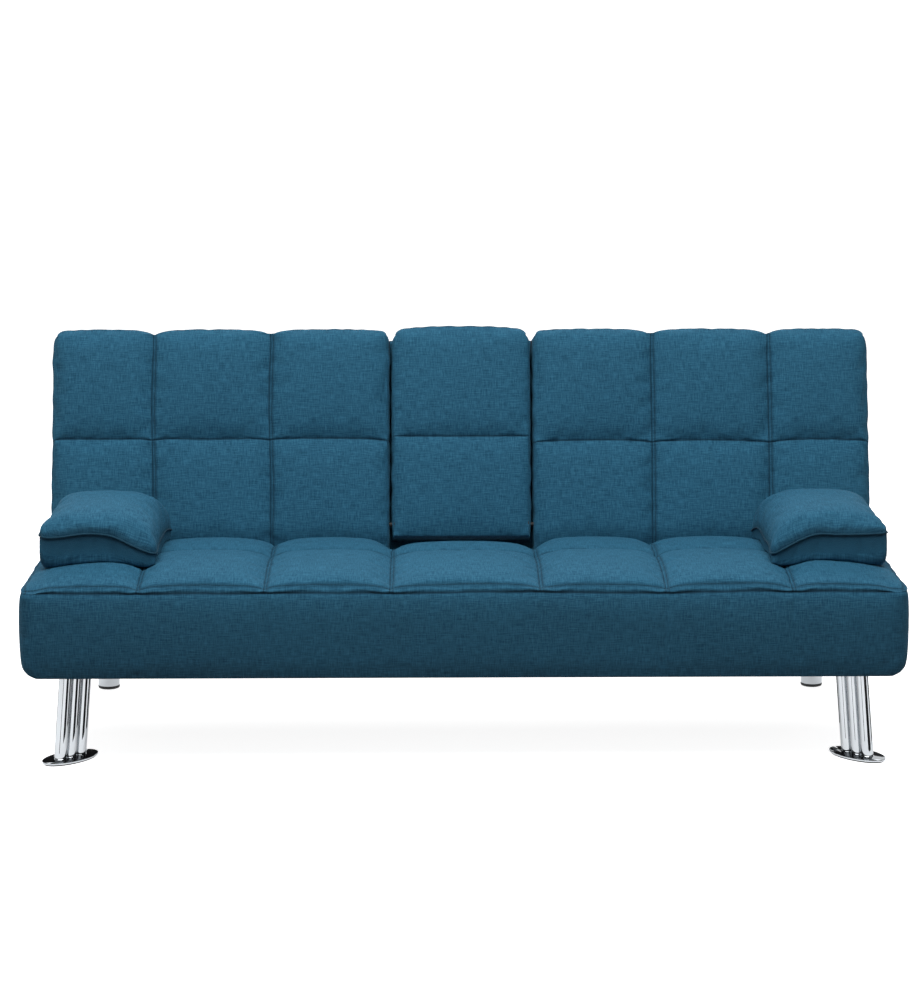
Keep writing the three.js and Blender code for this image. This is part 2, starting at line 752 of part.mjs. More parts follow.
function buildConsole() {
  const wall = coverThickness;
  const x1 = middle.width / 2;
  const hinge = [consoleHingeY, middle.hingeHeight];
  const pinHoles = SIDES.map(([sign]) =>
    pinX(sign, consoleHinge.pin + 2, x1 - wall - 1, x1 + 1, ...hinge),
  );
  const cover = cut(consoleBlock(0, false), consoleBlock(wall, true), ...pinHoles);
  piece(backGroup, "console_cover", cover, materials.fabric);

  const body = consoleBlock(inner, true);
  const slab = block(-BIG, BIG, -BIG, foamRear, -BIG, BIG);
  const pinPocket = block(-BIG, BIG, -BIG, BIG, -BIG, hinge[1] + consoleHinge.half);
  piece(backGroup, "console_foam", cut(common(body, slab), pinPocket), materials.foam);

  const t = middle.frameWall;
  const x = x1 - inner;
  const low = middle.bottom + inner;
  const high = middle.top - inner - 2;
  const [y0, y1] = [foamRear + gap, panelFront - gap];
  const ring = cut(
    block(-x, x, y0, y1, low, high),
    block(-x + t, x - t, y0 - 1, y1 + 1, low + t, high - t),
  );
  const cheeks = SIDES.map(([sign]) =>
    join(
      sideBlock(sign, x - t, x, hinge[0], y0 + 1, hinge[1] - 11, hinge[1] + 11),
      pinX(sign, 11, x - t, x, ...hinge),
    ),
  );
  const bores = SIDES.map(([sign]) =>
    pinX(sign, consoleHinge.pin + consoleHinge.clearance, x - t - 1, x + 1, ...hinge),
  );
  const frame = cut(common(join(ring, ...cheeks), body), ...bores);
  piece(backGroup, "console_frame", frame, materials.timber);

  const sill = middle.bottom + middle.heelHeight;
  const panel = common(block(-x, x, panelFront, middle.rear, sill, high), body);
  const holes = cupPlaces.map((at) => cupColumn(at, cup.radius + gap, panelFront - 1, middle.rear + 1));
  piece(backGroup, "console_rear_panel", cut(panel, ...holes), materials.fabric);

  for (const [cx, cz, name] of cupPlaces) {
    const at = [cx, cz];
    const mouth = middle.rear + gap + cup.rimThickness;
    const floor = mouth - cup.depth - cup.wall;
    const holder = cut(
      join(
        cupColumn(at, cup.rim, mouth - cup.rimThickness, mouth),
        cupColumn(at, cup.radius, floor, mouth - 1),
      ),
      cupColumn(at, cup.radius - cup.wall, floor + cup.wall, mouth + 1),
    );
    piece(backGroup, `cup_holder_${name}`, holder, materials.plastic);
  }
}

// A plate on the back board inside the cushion, with a pin into the console's cheek.
function buildConsoleHinge(sign, name) {
  const x0 = cushionInner + inner;
  const h = consoleHinge.half;
  const z = middle.hingeHeight;
  const plate = sidePlate(
    sign,
    rounded(consoleHingeY - h, z - h, boardFront - gap, z + h, [h - 1, 1, 1, h - 1]),
    x0,
    x0 + consoleHinge.plate,
  );
  const tip = middle.width / 2 - inner - middle.frameWall + 2;
  const pin = pinX(sign, consoleHinge.pin, tip, x0 + 1, consoleHingeY, z);
  piece(backGroup, `console_${name}_hinge`, join(plate, pin), materials.steel);
}

// ---------------------------------------------------------------- armrest pillows

// Side or end outline of a pillow: round ends below, sloping shoulders above.
function pillowOutline(centre, reach, slope) {
  const [low, high] = [seat.edge, pillow.top];
  const [a, b] = [centre - reach, centre + reach];
  const bulge = low + (high - low) * 0.75;
  return new THREE.Shape()
    .moveTo(a + 16, low)
    .lineTo(b - 16, low)
    .bezierCurveTo(b + 6, low + 20, b + 6, bulge, b - slope, high - 8)
    .quadraticCurveTo(centre, high + 8, a + slope, high - 8)
    .bezierCurveTo(a - 6, bulge, a - 6, low + 20, a + 16, low);
}

function buildPillow(sign, name) {
  const [w, l] = [pillow.width / 2, pillowLength / 2];
  const x = sign * (half - pillow.fromEnd);
  const y = pillowY;
  const body = common(
    plateY(pillowOutline(x, w, 36), y - l, y + l),
    plateX(pillowOutline(y, l, 50), x - w, x + w),
  );
  const underneath = seatPad(0, seat.bottom).translate(0, 0, pillow.lift);
  piece(sofa, `pillow_${name}`, cut(body, underneath), materials.fabric);
}

// ---------------------------------------------------------------- assembly

buildSeatCover();
buildSeatFoam();
buildSeatFrame();
buildSeatSprings();
buildDustCover();
buildBaseRails();
buildBackFrame();
buildRearCover();
buildConsole();
for (const [sign, name] of SIDES) {
  buildFrontLeg(sign, name);
  buildRearLeg(sign, name);
  buildSeatArm(sign, name);
  buildPawl(sign, name);
  buildPawlSpring(sign, name);
  buildPivot(sign, name);
  buildBackArm(sign, name);
  buildBackCushion(sign, name);
  buildConsoleHinge(sign, name);
  buildPillow(sign, name);
}

// The part's origin is on the floor under the middle of its bounding box.
const bounds = new THREE.Box3().setFromObject(sofa, true);
sofa.position.y = -(bounds.min.y + bounds.max.y) / 2;

export default sofa;
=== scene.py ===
"""Looks of a three-seat futon sofa bed: quilted linen, chrome legs, timber, steel and plastic."""

import json
import logging
import math
from dataclasses import dataclass, field
from enum import Enum
from typing import Callable, Iterable, Sequence

import bpy
import numpy as np
from mathutils import Matrix, Vector
from mathutils.bvhtree import BVHTree


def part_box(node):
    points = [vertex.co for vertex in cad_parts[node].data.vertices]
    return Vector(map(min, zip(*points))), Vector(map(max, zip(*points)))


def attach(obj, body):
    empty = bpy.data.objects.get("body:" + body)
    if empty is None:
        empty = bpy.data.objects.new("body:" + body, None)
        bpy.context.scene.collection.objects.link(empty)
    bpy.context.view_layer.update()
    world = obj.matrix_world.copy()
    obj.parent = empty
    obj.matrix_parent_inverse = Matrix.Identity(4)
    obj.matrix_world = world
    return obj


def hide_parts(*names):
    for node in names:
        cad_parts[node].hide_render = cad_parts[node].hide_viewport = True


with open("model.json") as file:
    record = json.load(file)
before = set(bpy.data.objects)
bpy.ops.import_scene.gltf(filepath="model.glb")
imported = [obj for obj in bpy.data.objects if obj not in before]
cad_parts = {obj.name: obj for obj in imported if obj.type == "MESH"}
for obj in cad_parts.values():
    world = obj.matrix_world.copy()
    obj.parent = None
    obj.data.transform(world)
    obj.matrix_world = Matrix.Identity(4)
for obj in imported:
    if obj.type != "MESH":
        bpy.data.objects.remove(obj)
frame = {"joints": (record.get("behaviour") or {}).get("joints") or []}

log = logging.getLogger("sofa")

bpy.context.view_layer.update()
LEAN = math.radians(17.0)
ON_PLANE = 1e-6
NOT_ZERO = 1e-9
# width of the painted shade line drawn along each seam
SEAM_SHADE_WIDTH = 0.0014
TOP_HEM = 0.010
BOXING_SEAM = 0.015
# height of the seat's top above its seam, by distance from the front
SEAT_CROWN = (
    (0.0, 0.0), (0.0025, 0.0030), (0.0055, 0.0065), (0.010, 0.0102), (0.015, 0.0140), (0.025, 0.0190),
    (0.050, 0.0255), (0.100, 0.0320), (0.160, 0.0345), (0.205, 0.0330), (0.235, 0.0312), (0.250, 0.0300),
    (0.265, 0.0298), (0.300, 0.0295), (0.345, 0.027), (0.400, 0.017), (0.440, 0.003), (0.464, -0.013),
    (0.470, -0.020),
)
# share of that height, by distance from the seat's end
SEAT_SHOULDER = (
    (0, 0.0), (0.0025, 0.10), (0.0055, 0.20), (0.010, 0.29), (0.020, 0.38), (0.037, 0.48), (0.060, 0.58),
    (0.100, 0.73), (0.150, 0.86), (0.200, 0.95), (0.260, 1.0),
)
PIVOT = Vector(next(j for j in frame["joints"] if j["name"] == "back_recline")["pos_m"])
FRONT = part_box("seat_cover")[0].y
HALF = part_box("seat_cover")[1].x


class Wire:
    """A value socket that takes part in Python arithmetic by adding Math nodes."""

    def __init__(self, recipe: "Recipe", socket: bpy.types.NodeSocket) -> None:
        """Keeps the recipe and the socket.

        Args:
            recipe: The material under construction.
            socket: The output that carries the value.
        """
        self.recipe = recipe
        self.socket = socket

    def _math(self, operation: str, *others: "Wire | float", flip: bool = False) -> "Wire":
        """Adds one Math node.

        Args:
            operation: The Math node's operation.
            others: The other operands.
            flip: Puts this value second.

        Returns:
            The result.
        """
        values = [self, *others]
        if flip:
            values.reverse()
        made = self.recipe.add("ShaderNodeMath", {"operation": operation}, dict(enumerate(values)))
        return Wire(self.recipe, made.outputs[0])

    def __add__(self, other: "Wire | float") -> "Wire":
        """Sum."""
        return self._math("ADD", other)

    __radd__ = __add__

    def __sub__(self, other: "Wire | float") -> "Wire":
        """Difference."""
        return self._math("SUBTRACT", other)

    def __rsub__(self, other: "Wire | float") -> "Wire":
        """Difference the other way round."""
        return self._math("SUBTRACT", other, flip=True)

    def __mul__(self, other: "Wire | float") -> "Wire":
        """Product."""
        return self._math("MULTIPLY", other)

    __rmul__ = __mul__

    def __truediv__(self, other: "Wire | float") -> "Wire":
        """Quotient."""
        return self._math("DIVIDE", other)

    def __pow__(self, other: "Wire | float") -> "Wire":
        """Power."""
        return self._math("POWER", other)

    def sine(self) -> "Wire":
        """Sine of the value in radians."""
        return self._math("SINE")

    def size(self) -> "Wire":
        """Absolute value."""
        return self._math("ABSOLUTE")

    def least(self, other: "Wire | float") -> "Wire":
        """The smaller of two values."""
        return self._math("MINIMUM", other)

    def most(self, other: "Wire | float") -> "Wire":
        """The larger of two values."""
        return self._math("MAXIMUM", other)

    def step(self, low: float, high: float) -> "Wire":
        """Runs from 0 at low to 1 at high and stays there."""
        return ((self - low) / (high - low)).most(0.0).least(1.0)


class Recipe:
    """A material's node tree, built from few calls."""

    def __init__(self, name: str) -> None:
        """Starts an empty material.

        Args:
            name: The material's name.
        """
        self.material = bpy.data.materials.new(name)
        self.material.use_nodes = True
        self.tree = self.material.node_tree
        self.tree.nodes.clear()
        self.shader = self.tree.nodes.new("ShaderNodeBsdfPrincipled")
        end = self.tree.nodes.new("ShaderNodeOutputMaterial")
        self.tree.links.new(self.shader.outputs[0], end.inputs[0])

    def add(self, kind: str, settings: dict | None = None, values: dict | None = None) -> bpy.types.Node:
        """Adds a node.

        Args:
            kind: The node's type.
            settings: The node's own properties, set first; "stops" gives a ramp's colours.
            values: What its sockets get, by name or number: a Wire, a socket or a value.

        Returns:
            The node.
        """
        node = self.tree.nodes.new(kind)
        for key, value in (settings or {}).items():
            if key == "stops":
                self._stops(node, value)
            else:
                setattr(node, key, value)
        for key, value in (values or {}).items():
            self._feed(node.inputs[key], value)
        return node

    def _stops(self, node: bpy.types.Node, stops: Sequence[tuple[float, tuple]]) -> None:
        """Sets a colour ramp's stops.

        Args:
            node: The node.
            stops: Position and colour of each stop.
        """
        ramp = node.color_ramp.elements
        while len(ramp) < len(stops):
            ramp.new(0.5)
        for element, (at, colour) in zip(ramp, stops):
            element.position = at
            element.color = (*colour, 1.0)

    def _feed(self, target: bpy.types.NodeSocket, value: object) -> None:
        """Links or sets one input.

        Args:
            target: The input.
            value: A wire, an output, or a plain value.
        """
        if isinstance(value, Wire):
            value = value.socket
        if isinstance(value, bpy.types.NodeSocket):
            self.tree.links.new(value, target)
        else:
            target.default_value = value

    def place(self, scale: tuple[float, float, float] = (1.0, 1.0, 1.0)) -> bpy.types.NodeSocket:
        """The surface's own position in metres, scaled per axis."""
        source = self.add("ShaderNodeTexCoord").outputs["Object"]
        return self.times(source, scale)

    def times(
        self, vector: bpy.types.NodeSocket, scale: tuple[float, float, float]
    ) -> bpy.types.NodeSocket:
        """A vector scaled per axis."""
        return self.add("ShaderNodeVectorMath", {"operation": "MULTIPLY"}, {0: vector, 1: scale}).outputs[0]

    def noise(
        self, vector: bpy.types.NodeSocket, scale: float, detail: float = 2.0, rough: float = 0.5
    ) -> Wire:
        """A noise value about 0.5."""
        values = {"Vector": vector, "Scale": scale, "Detail": detail, "Roughness": rough}
        return Wire(self, self.add("ShaderNodeTexNoise", None, values).outputs[0])

    def split(self, vector: bpy.types.NodeSocket) -> tuple[Wire, Wire, Wire]:
        """The three parts of a vector."""
        parts = self.add("ShaderNodeSeparateXYZ", None, {0: vector})
        return tuple(Wire(self, out) for out in parts.outputs)

    def mix(self, share: "Wire | float", first: object, second: object) -> bpy.types.NodeSocket:
        """A colour between two colours."""
        node = self.add("ShaderNodeMix", {"data_type": "RGBA"})
        self._feed(node.inputs[0], share)
        for place, colour in ((6, first), (7, second)):
            self._feed(node.inputs[place], (*colour, 1.0) if isinstance(colour, tuple) else colour)
        return node.outputs[2]

    def bump(
        self, height: Wire, distance: float, strength: float = 1.0, under: object = None
    ) -> bpy.types.NodeSocket:
        """A normal from a height.

        Args:
            height: The height, about 0 to 1.
            distance: The height in metres that 1 stands for.
            strength: How much of it shows.
            under: A normal that it adds to.

        Returns:
            The normal.
        """
        values = {"Strength": strength, "Distance": distance, "Height": height}
        if under is not None:
            values["Normal"] = under
        return self.add("ShaderNodeBump", None, values).outputs[0]

    def finish(self, fixed: dict, varying: dict) -> bpy.types.Material:
        """Sets the shader.

        Args:
            fixed: Constant values by socket name.
            varying: Wires and sockets by socket name.

        Returns:
            The material.
        """
        for key, value in {**fixed, **varying}.items():
            if isinstance(value, tuple) and len(value) == 3:
                value = (*value, 1.0)
            self._feed(self.shader.inputs[key], value)
        return self.material


@dataclass(frozen=True)
class Linen:
    """Woven linen-look upholstery with slubs, lint and painted shade along its seams."""

    name: str = "teal_linen"
    dark: tuple[float, float, float] = (0.0085, 0.0535, 0.0985)
    light: tuple[float, float, float] = (0.030, 0.134, 0.220)
    # crease: the painted shade colour that seams and stitch lines are darkened towards
    crease: tuple[float, float, float] = (0.003, 0.017, 0.032)
    pitch: float = 0.00125

    def make(self) -> bpy.types.Material:
        """Builds the cloth.

        Returns:
            The finish.
        """
        r = Recipe(self.name)
        cloth = r.add("ShaderNodeAttribute", {"attribute_name": "cloth"}).outputs["Vector"]
        seam = Wire(r, r.add("ShaderNodeAttribute", {"attribute_name": "seam"}).outputs["Fac"])
        u, v, _ = r.split(cloth)
        across = (u * (math.pi / self.pitch)).sine()
        along = (v * (math.pi / self.pitch)).sine()
        over = across * along * 0.5 + 0.5
        weave = across.size() * over + along.size() * (1.0 - over)
        weft = r.noise(r.times(cloth, (38.0, 620.0, 1.0)), 1.0, 3.0, 0.75)
        warp = r.noise(r.times(cloth, (620.0, 46.0, 1.0)), 1.0, 3.0, 0.75)
        slub = (weft.step(0.36, 0.66) + warp.step(0.38, 0.68)) * 0.5
        patch = r.noise(r.place(), 5.0, 3.0)
        lint = r.noise(r.place(), 260.0, 2.0).step(0.66, 0.78)
        tone = slub * 1.45 + weave * 0.20 + patch * 0.24 - 0.40
        colour = r.mix(tone.most(0.0).least(1.0), self.dark, self.light)
        colour = r.mix(lint * 0.07, colour, (0.12, 0.26, 0.34))
        # painted shade: darkens the cloth towards the crease colour where the seam attribute marks a seam
        # groove or stitch line
        colour = r.mix((seam * 0.88).least(0.88), colour, self.crease)
        wrinkle = r.noise(r.place((1.0, 1.0, 1.0)), 16.0, 3.0, 0.55)
        soft = r.bump(wrinkle, 0.0022, 0.55)
        nubs = r.bump(slub * 0.6 + weave * 0.5, 0.00032, 0.8, soft)
        rough = 0.86 + patch * 0.12 - slub * 0.10
        fixed = {
            "Sheen Weight": 0.10,
            "Sheen Roughness": 0.5,
            "Sheen Tint": (0.20, 0.60, 0.85),
            "Specular IOR Level": 0.12,
        }
        return r.finish(fixed, {"Base Color": colour, "Roughness": rough, "Normal": nubs})


@dataclass(frozen=True)
class Thread:
    """Twisted sewing thread or piping in the cloth's own hue; the piping uses a darker copy that paints the
    shade along its seam.
    """

    name: str = "sewing_thread"
    dark: tuple[float, float, float] = (0.003, 0.016, 0.030)
    light: tuple[float, float, float] = (0.012, 0.052, 0.085)

    def make(self) -> bpy.types.Material:
        """Builds the thread.

        Returns:
            The finish.
        """
        r = Recipe(self.name)
        x, y, z = r.split(r.place())
        twist = ((x + y + z) * 5200.0).sine() * 0.5 + 0.5
        fluff = r.noise(r.place(), 900.0, 3.0)
        colour = r.mix((twist * 0.5 + fluff * 0.6 - 0.1).most(0.0).least(1.0), self.dark, self.light)
        normal = r.bump(twist * 0.6 + fluff * 0.4, 0.00015, 0.8)
        fixed = {"Sheen Weight": 0.04, "Specular IOR Level": 0.1}
        return r.finish(fixed, {"Base Color": colour, "Roughness": 0.66 + fluff * 0.2, "Normal": normal})


@dataclass(frozen=True)
class Metal:
    """Plated, painted or bare metal."""

    name: str
    colour: tuple[float, float, float]
    tint: tuple[float, float, float]
    metallic: float = 1.0
    rough: float = 0.08
    spread: float = 0.05
    grain: float = 90.0
    depth: float = 0.00003
    stretch: tuple[float, float, float] = (1.0, 1.0, 1.0)

    def make(self) -> bpy.types.Material:
        """Builds the metal.

        Returns:
            The finish.
        """
        r = Recipe(self.name)
        cloud = r.noise(r.place(), 9.0, 4.0, 0.6)
        grain = r.noise(r.place(self.stretch), self.grain, 4.0, 0.6)
        smear = r.noise(r.place((3.0, 3.0, 22.0)), 6.0, 3.0).step(0.42, 0.72)
        colour = r.mix(cloud, self.colour, self.tint)
        rough = self.rough + smear * self.spread + grain * self.spread * 0.7
        normal = r.bump(grain, self.depth, 0.6)
        fixed = {"Metallic": self.metallic}
        return r.finish(fixed, {"Base Color": colour, "Roughness": rough, "Normal": normal})


@dataclass(frozen=True)
class Moulded:
    """Grained plastic or rubber."""

    name: str
    colour: tuple[float, float, float] = (0.012, 0.012, 0.013)
    worn: tuple[float, float, float] = (0.035, 0.035, 0.037)
    rough: float = 0.5
    grain: float = 1400.0
    depth: float = 0.0001

    def make(self) -> bpy.types.Material:
        """Builds the moulding.

        Returns:
            The finish.
        """
        r = Recipe(self.name)
        cell = r.add("ShaderNodeTexVoronoi", None, {"Vector": r.place(), "Scale": self.grain * 0.6})
        pebble = Wire(r, cell.outputs[0]).step(0.0, 0.7)
        haze = r.noise(r.place(), 14.0, 4.0, 0.6)
        colour = r.mix(haze.step(0.35, 0.8) * 0.7 + pebble * 0.2, self.colour, self.worn)
        rough = self.rough + haze * 0.18
        return r.finish(
            {}, {"Base Color": colour, "Roughness": rough, "Normal": r.bump(pebble, self.depth, 0.7)}
        )


@dataclass(frozen=True)
class Timber:
    """Sawn softwood or pressed board with grain along one axis."""

    name: str
    pale: tuple[float, float, float] = (0.62, 0.43, 0.24)
    deep: tuple[float, float, float] = (0.40, 0.23, 0.105)
    along: tuple[float, float, float] = (1.0, 14.0, 14.0)

    def make(self) -> bpy.types.Material:
        """Builds the wood.

        Returns:
            The finish.
        """
        r = Recipe(self.name)
        place = r.place(self.along)
        rings = r.noise(place, 3.0, 4.0, 0.5)
        band = ((rings * 42.0).sine() * 0.5 + 0.5) ** 2.0
        fibre = r.noise(r.place(tuple(a * 18.0 for a in self.along)), 3.0, 4.0, 0.7)
        knot = r.noise(place, 1.1, 2.0).step(0.66, 0.80)
        tone = (band * 0.45 + fibre * 0.5 + knot * 0.5).least(1.0)
        colour = r.mix(tone, self.pale, self.deep)
        normal = r.bump(band * 0.3 + fibre * 0.7, 0.0004, 0.6)
        return r.finish(
            {"Specular IOR Level": 0.3},
            {"Base Color": colour, "Roughness": 0.62 + fibre * 0.2, "Normal": normal}
        )


@dataclass(frozen=True)
class Foam:
    """Open-cell foam, yellowed a little."""

    name: str = "foam"

    def make(self) -> bpy.types.Material:
        """Builds the foam.

        Returns:
            The finish.
        """
        r = Recipe(self.name)
        cell = r.add("ShaderNodeTexVoronoi", None, {"Vector": r.place(), "Scale": 420.0})
        pore = Wire(r, cell.outputs[0]).step(0.05, 0.6)
        patch = r.noise(r.place(), 7.0, 3.0)
        colour = r.mix(pore * 0.5 + patch * 0.5, (0.60, 0.50, 0.28), (0.86, 0.80, 0.60))
        return r.finish(
            {}, {"Base Color": colour, "Roughness": 0.85 + patch * 0.1, "Normal": r.bump(pore, 0.0009, 0.8)}
        )


@dataclass(frozen=True)
class Fleece:
    """Thin black non-woven cloth with its embossed dots."""

    name: str = "dust_cloth"

    def make(self) -> bpy.types.Material:
        """Builds the cloth.

        Returns:
            The finish.
        """
        r = Recipe(self.name)
        x, y, _ = r.split(r.place())
        dots = ((x * 1250.0).sine() * (y * 1250.0).sine()).step(0.35, 0.9)
        fibre = r.noise(r.place(), 700.0, 4.0, 0.7)
        sag = r.noise(r.place((1.0, 2.5, 1.0)), 5.0, 2.0)
        colour = r.mix(fibre * 0.7 + dots * 0.2, (0.006, 0.006, 0.007), (0.030, 0.030, 0.032))
        normal = r.bump(fibre * 0.5 - dots * 0.5, 0.00025, 0.8, r.bump(sag, 0.004, 0.5))
        return r.finish(
            {"Specular IOR Level": 0.2},
            {"Base Color": colour, "Roughness": 0.80 + fibre * 0.15, "Normal": normal}
        )


class Finishes:
    """Every finish of the sofa, made once."""

    def __init__(self) -> None:
        """Makes the materials."""
        self.linen = Linen().make()
        self.thread = Thread().make()
        # the piping: a darker copy of the linen, painted shade along the piped seam
        self.thread_cloth = Thread("piping_cloth", (0.004, 0.026, 0.046), (0.014, 0.066, 0.108)).make()
        self.chrome = Metal(
            "chrome_plate", (0.42, 0.44, 0.46), (0.37, 0.39, 0.41), 1.0, 0.03, 0.03, 90.0, 0.000003
        ).make()
        self.black_steel = Metal(
            "black_paint", (0.016, 0.016, 0.018), (0.028, 0.028, 0.030), 0.0, 0.38, 0.16, 520.0, 0.00012
        ).make()
        self.zinc = Metal(
            "zinc_plate", (0.52, 0.53, 0.50), (0.62, 0.60, 0.52), 1.0, 0.30, 0.18, 160.0, 0.00005
        ).make()
        self.plastic = Moulded("black_plastic").make()
        self.rubber = Moulded("rubber", (0.010, 0.010, 0.010), (0.040, 0.039, 0.037), 0.72, 900.0).make()
        self.rail_x = Timber("softwood_along_x").make()
        self.rail_y = Timber("softwood_along_y", along=(14.0, 1.0, 14.0)).make()
        self.stained = Timber(
            "stained_softwood", (0.018, 0.014, 0.011), (0.010, 0.008, 0.006), (14.0, 14.0, 1.0)
        ).make()
        self.foam = Foam().make()
        self.fleece = Fleece().make()


def ramp(x: np.ndarray, low: float, high: float) -> np.ndarray:
    """A smooth step from 0 at low to 1 at high."""
    t = np.clip((x - low) / (high - low), 0.0, 1.0)
    return t * t * (3.0 - 2.0 * t)


def ripple(points: np.ndarray, wave: float, seed: int) -> np.ndarray:
    """Smooth seeded noise.

    Args:
        points: Positions, one row each.
        wave: The typical wavelength in metres.
        seed: Which pattern.

    Returns:
        Values of about -1 to 1.
    """
    rng = np.random.RandomState(seed)
    total = np.zeros(len(points))
    for _ in range(9):
        way = rng.normal(size=points.shape[1])
        way /= np.linalg.norm(way)
        total += np.sin(points @ way * (2 * math.pi / (wave * rng.uniform(0.6, 1.7))) + rng.uniform(0, 6.3))
    return total / 3.6


def spaced(
    length: float, step: float, marks: Iterable[float] = (), near: Sequence[float] = (0.0022, 0.005, 0.011)
) -> np.ndarray:
    """Positions of grid lines from 0 to length.

    Args:
        length: The last position.
        step: The usual spacing.
        marks: Places that get a line of their own, with closer lines beside them.
        near: Distances of the closer lines.

    Returns:
        The positions in order.
    """
    kept = {0.0, length}
    for m in marks:
        for d in (0.0, *near):
            kept.update(x for x in (m - d, m + d) if 0.0 < x < length)
    fixed = np.array(sorted(kept))
    lines = [fixed[0]]
    for a, b in zip(fixed[:-1], fixed[1:]):
        if b - a < 0.0012:
            continue
        count = max(1, round((b - a) / step))
        lines.extend(a + (b - a) * (i + 1) / count for i in range(count))
    lines[-1] = length
    return np.array(lines)


def link(
    name: str, mesh: bpy.types.Mesh, material: bpy.types.Material, body: str
) -> bpy.types.Object:
    """Makes a piece of a mesh and lets it ride on a body.

    Args:
        name: The piece's name.
        mesh: Its mesh, in the row frame.
        material: Its finish.
        body: The body it rides on.

    Returns:
        The piece.
    """
    obj = bpy.data.objects.new(name, mesh)
    bpy.context.scene.collection.objects.link(obj)
    mesh.materials.clear()
    mesh.materials.append(material)
    mesh.polygons.foreach_set("use_smooth", [True] * len(mesh.polygons))
    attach(obj, body)
    return obj


def back_frame() -> Matrix:
    """The back's own frame: origin on its hinge, z up its slope."""
    return Matrix.Translation(PIVOT) @ Matrix.Rotation(-LEAN, 4, "X")


class Side(Enum):
    """The sitter's left or right."""

    RIGHT = -1
    LEFT = 1

    @property
    def word(self) -> str:
        """The side's name in node names."""
        return self.name.lower()


class Lattice:
    """The surface of a box divided by grid lines, ready to be shaped into a cushion."""

    def __init__(
        self,
        xs: np.ndarray,
        ys: np.ndarray,
        zs: np.ndarray,
        omit: Callable[[str, np.ndarray], bool] | None = None
    ) -> None:
        """Lays out the grid.

        Args:
            xs: Grid lines along x.
            ys: Grid lines along y, front to rear.
            zs: Grid lines along z, upward.
            omit: Says of a face's name and middle whether it is left open.
        """
        self.xs, self.ys, self.zs = xs, ys, zs
        self.index: dict[tuple[int, int, int], int] = {}
        self.keys: list[tuple[int, int, int]] = []
        self.quads: list[tuple[int, int, int, int]] = []
        self.cloth: list[tuple[float, float]] = []
        a, b, c = len(xs) - 1, len(ys) - 1, len(zs) - 1
        top = zs[-1]
        self._face("front", a, c, lambda i, k: (i, 0, k), lambda p: (p[0], p[2]), False, omit)
        self._face(
            "rear", a, c, lambda i, k: (i, b, k), lambda p: (p[0], 2 * top - p[2] + ys[-1]), True, omit
        )
        self._face("top", a, b, lambda i, j: (i, j, c), lambda p: (p[0], top + p[1]), False, omit)
        self._face("bottom", a, b, lambda i, j: (i, j, 0), lambda p: (p[0], -p[1]), True, omit)
        self._face("low", b, c, lambda j, k: (0, j, k), lambda p: (p[1] + 0.3, p[2]), True, omit)
        self._face("high", b, c, lambda j, k: (a, j, k), lambda p: (p[1] + 0.7, p[2]), False, omit)
        self.points = np.array([(xs[i], ys[j], zs[k]) for i, j, k in self.keys])

    def _vertex(self, key: tuple[int, int, int]) -> int:
        """The number of a lattice point."""
        if key not in self.index:
            self.index[key] = len(self.keys)
            self.keys.append(key)
        return self.index[key]

    def _face(
        self, name: str, m: int, n: int, at: Callable, flat: Callable, flip: bool, omit: Callable | None
    ) -> None:
        """Adds one side of the box.

        Args:
            name: The side's name.
            m: Cells along the first direction.
            n: Cells along the second direction.
            at: The grid numbers of a corner.
            flat: The cloth coordinates of a point.
            flip: Whether it faces the other way.
            omit: Says what is left open.
        """
        for i in range(m):
            for k in range(n):
                keys = [at(i, k), at(i + 1, k), at(i + 1, k + 1), at(i, k + 1)]
                if flip:
                    keys.reverse()
                spots = [(self.xs[p], self.ys[q], self.zs[s]) for p, q, s in keys]
                if omit and omit(name, np.mean(spots, axis=0)):
                    continue
                self.quads.append(tuple(self._vertex(key) for key in keys))
                self.cloth.extend(flat(spot) for spot in spots)

    def mesh(self, name: str, points: np.ndarray, seam: np.ndarray) -> bpy.types.Mesh:
        """Makes the mesh.

        Args:
            name: The mesh's name.
            points: A shaped position for each lattice point.
            seam: How much painted seam shade each gets, 0 to 1.

        Returns:
            The mesh, with its cloth coordinates and painted seam shade as attributes.
        """
        mesh = bpy.data.meshes.new(name)
        mesh.from_pydata(points.tolist(), [], self.quads)
        flat = np.zeros((len(self.cloth), 3), np.float32)
        flat[:, :2] = self.cloth
        mesh.attributes.new("cloth", "FLOAT_VECTOR", "CORNER").data.foreach_set("vector", flat.ravel())
        mesh.attributes.new("seam", "FLOAT", "POINT").data.foreach_set("value", seam.astype(np.float32))
        mesh.update()
        return mesh


@dataclass(frozen=True)
class Seam:
    """A sewn line on a cushion: where axis is at a given place, on the named faces."""

    axis: int
    at: float
    faces: tuple[str, ...] = ("front",)
    depth: float = 0.004
    width: float = 0.010
    stitch: tuple[float, ...] = (0.005,)
    # width of the painted shade line along this seam
    mark: float = SEAM_SHADE_WIDTH

    def dip(self, gap: np.ndarray) -> np.ndarray:
        """How deep the cloth is drawn in at a distance from the line."""
        stitched = sum(np.exp(-(((gap - abs(s)) / 0.0014) ** 2)) for s in self.stitch) * 0.0008
        return (
            self.depth * (0.55 * np.exp(-gap / self.width) + 0.45 * np.exp(-((gap / 0.0024) ** 2)))
            + stitched
        )


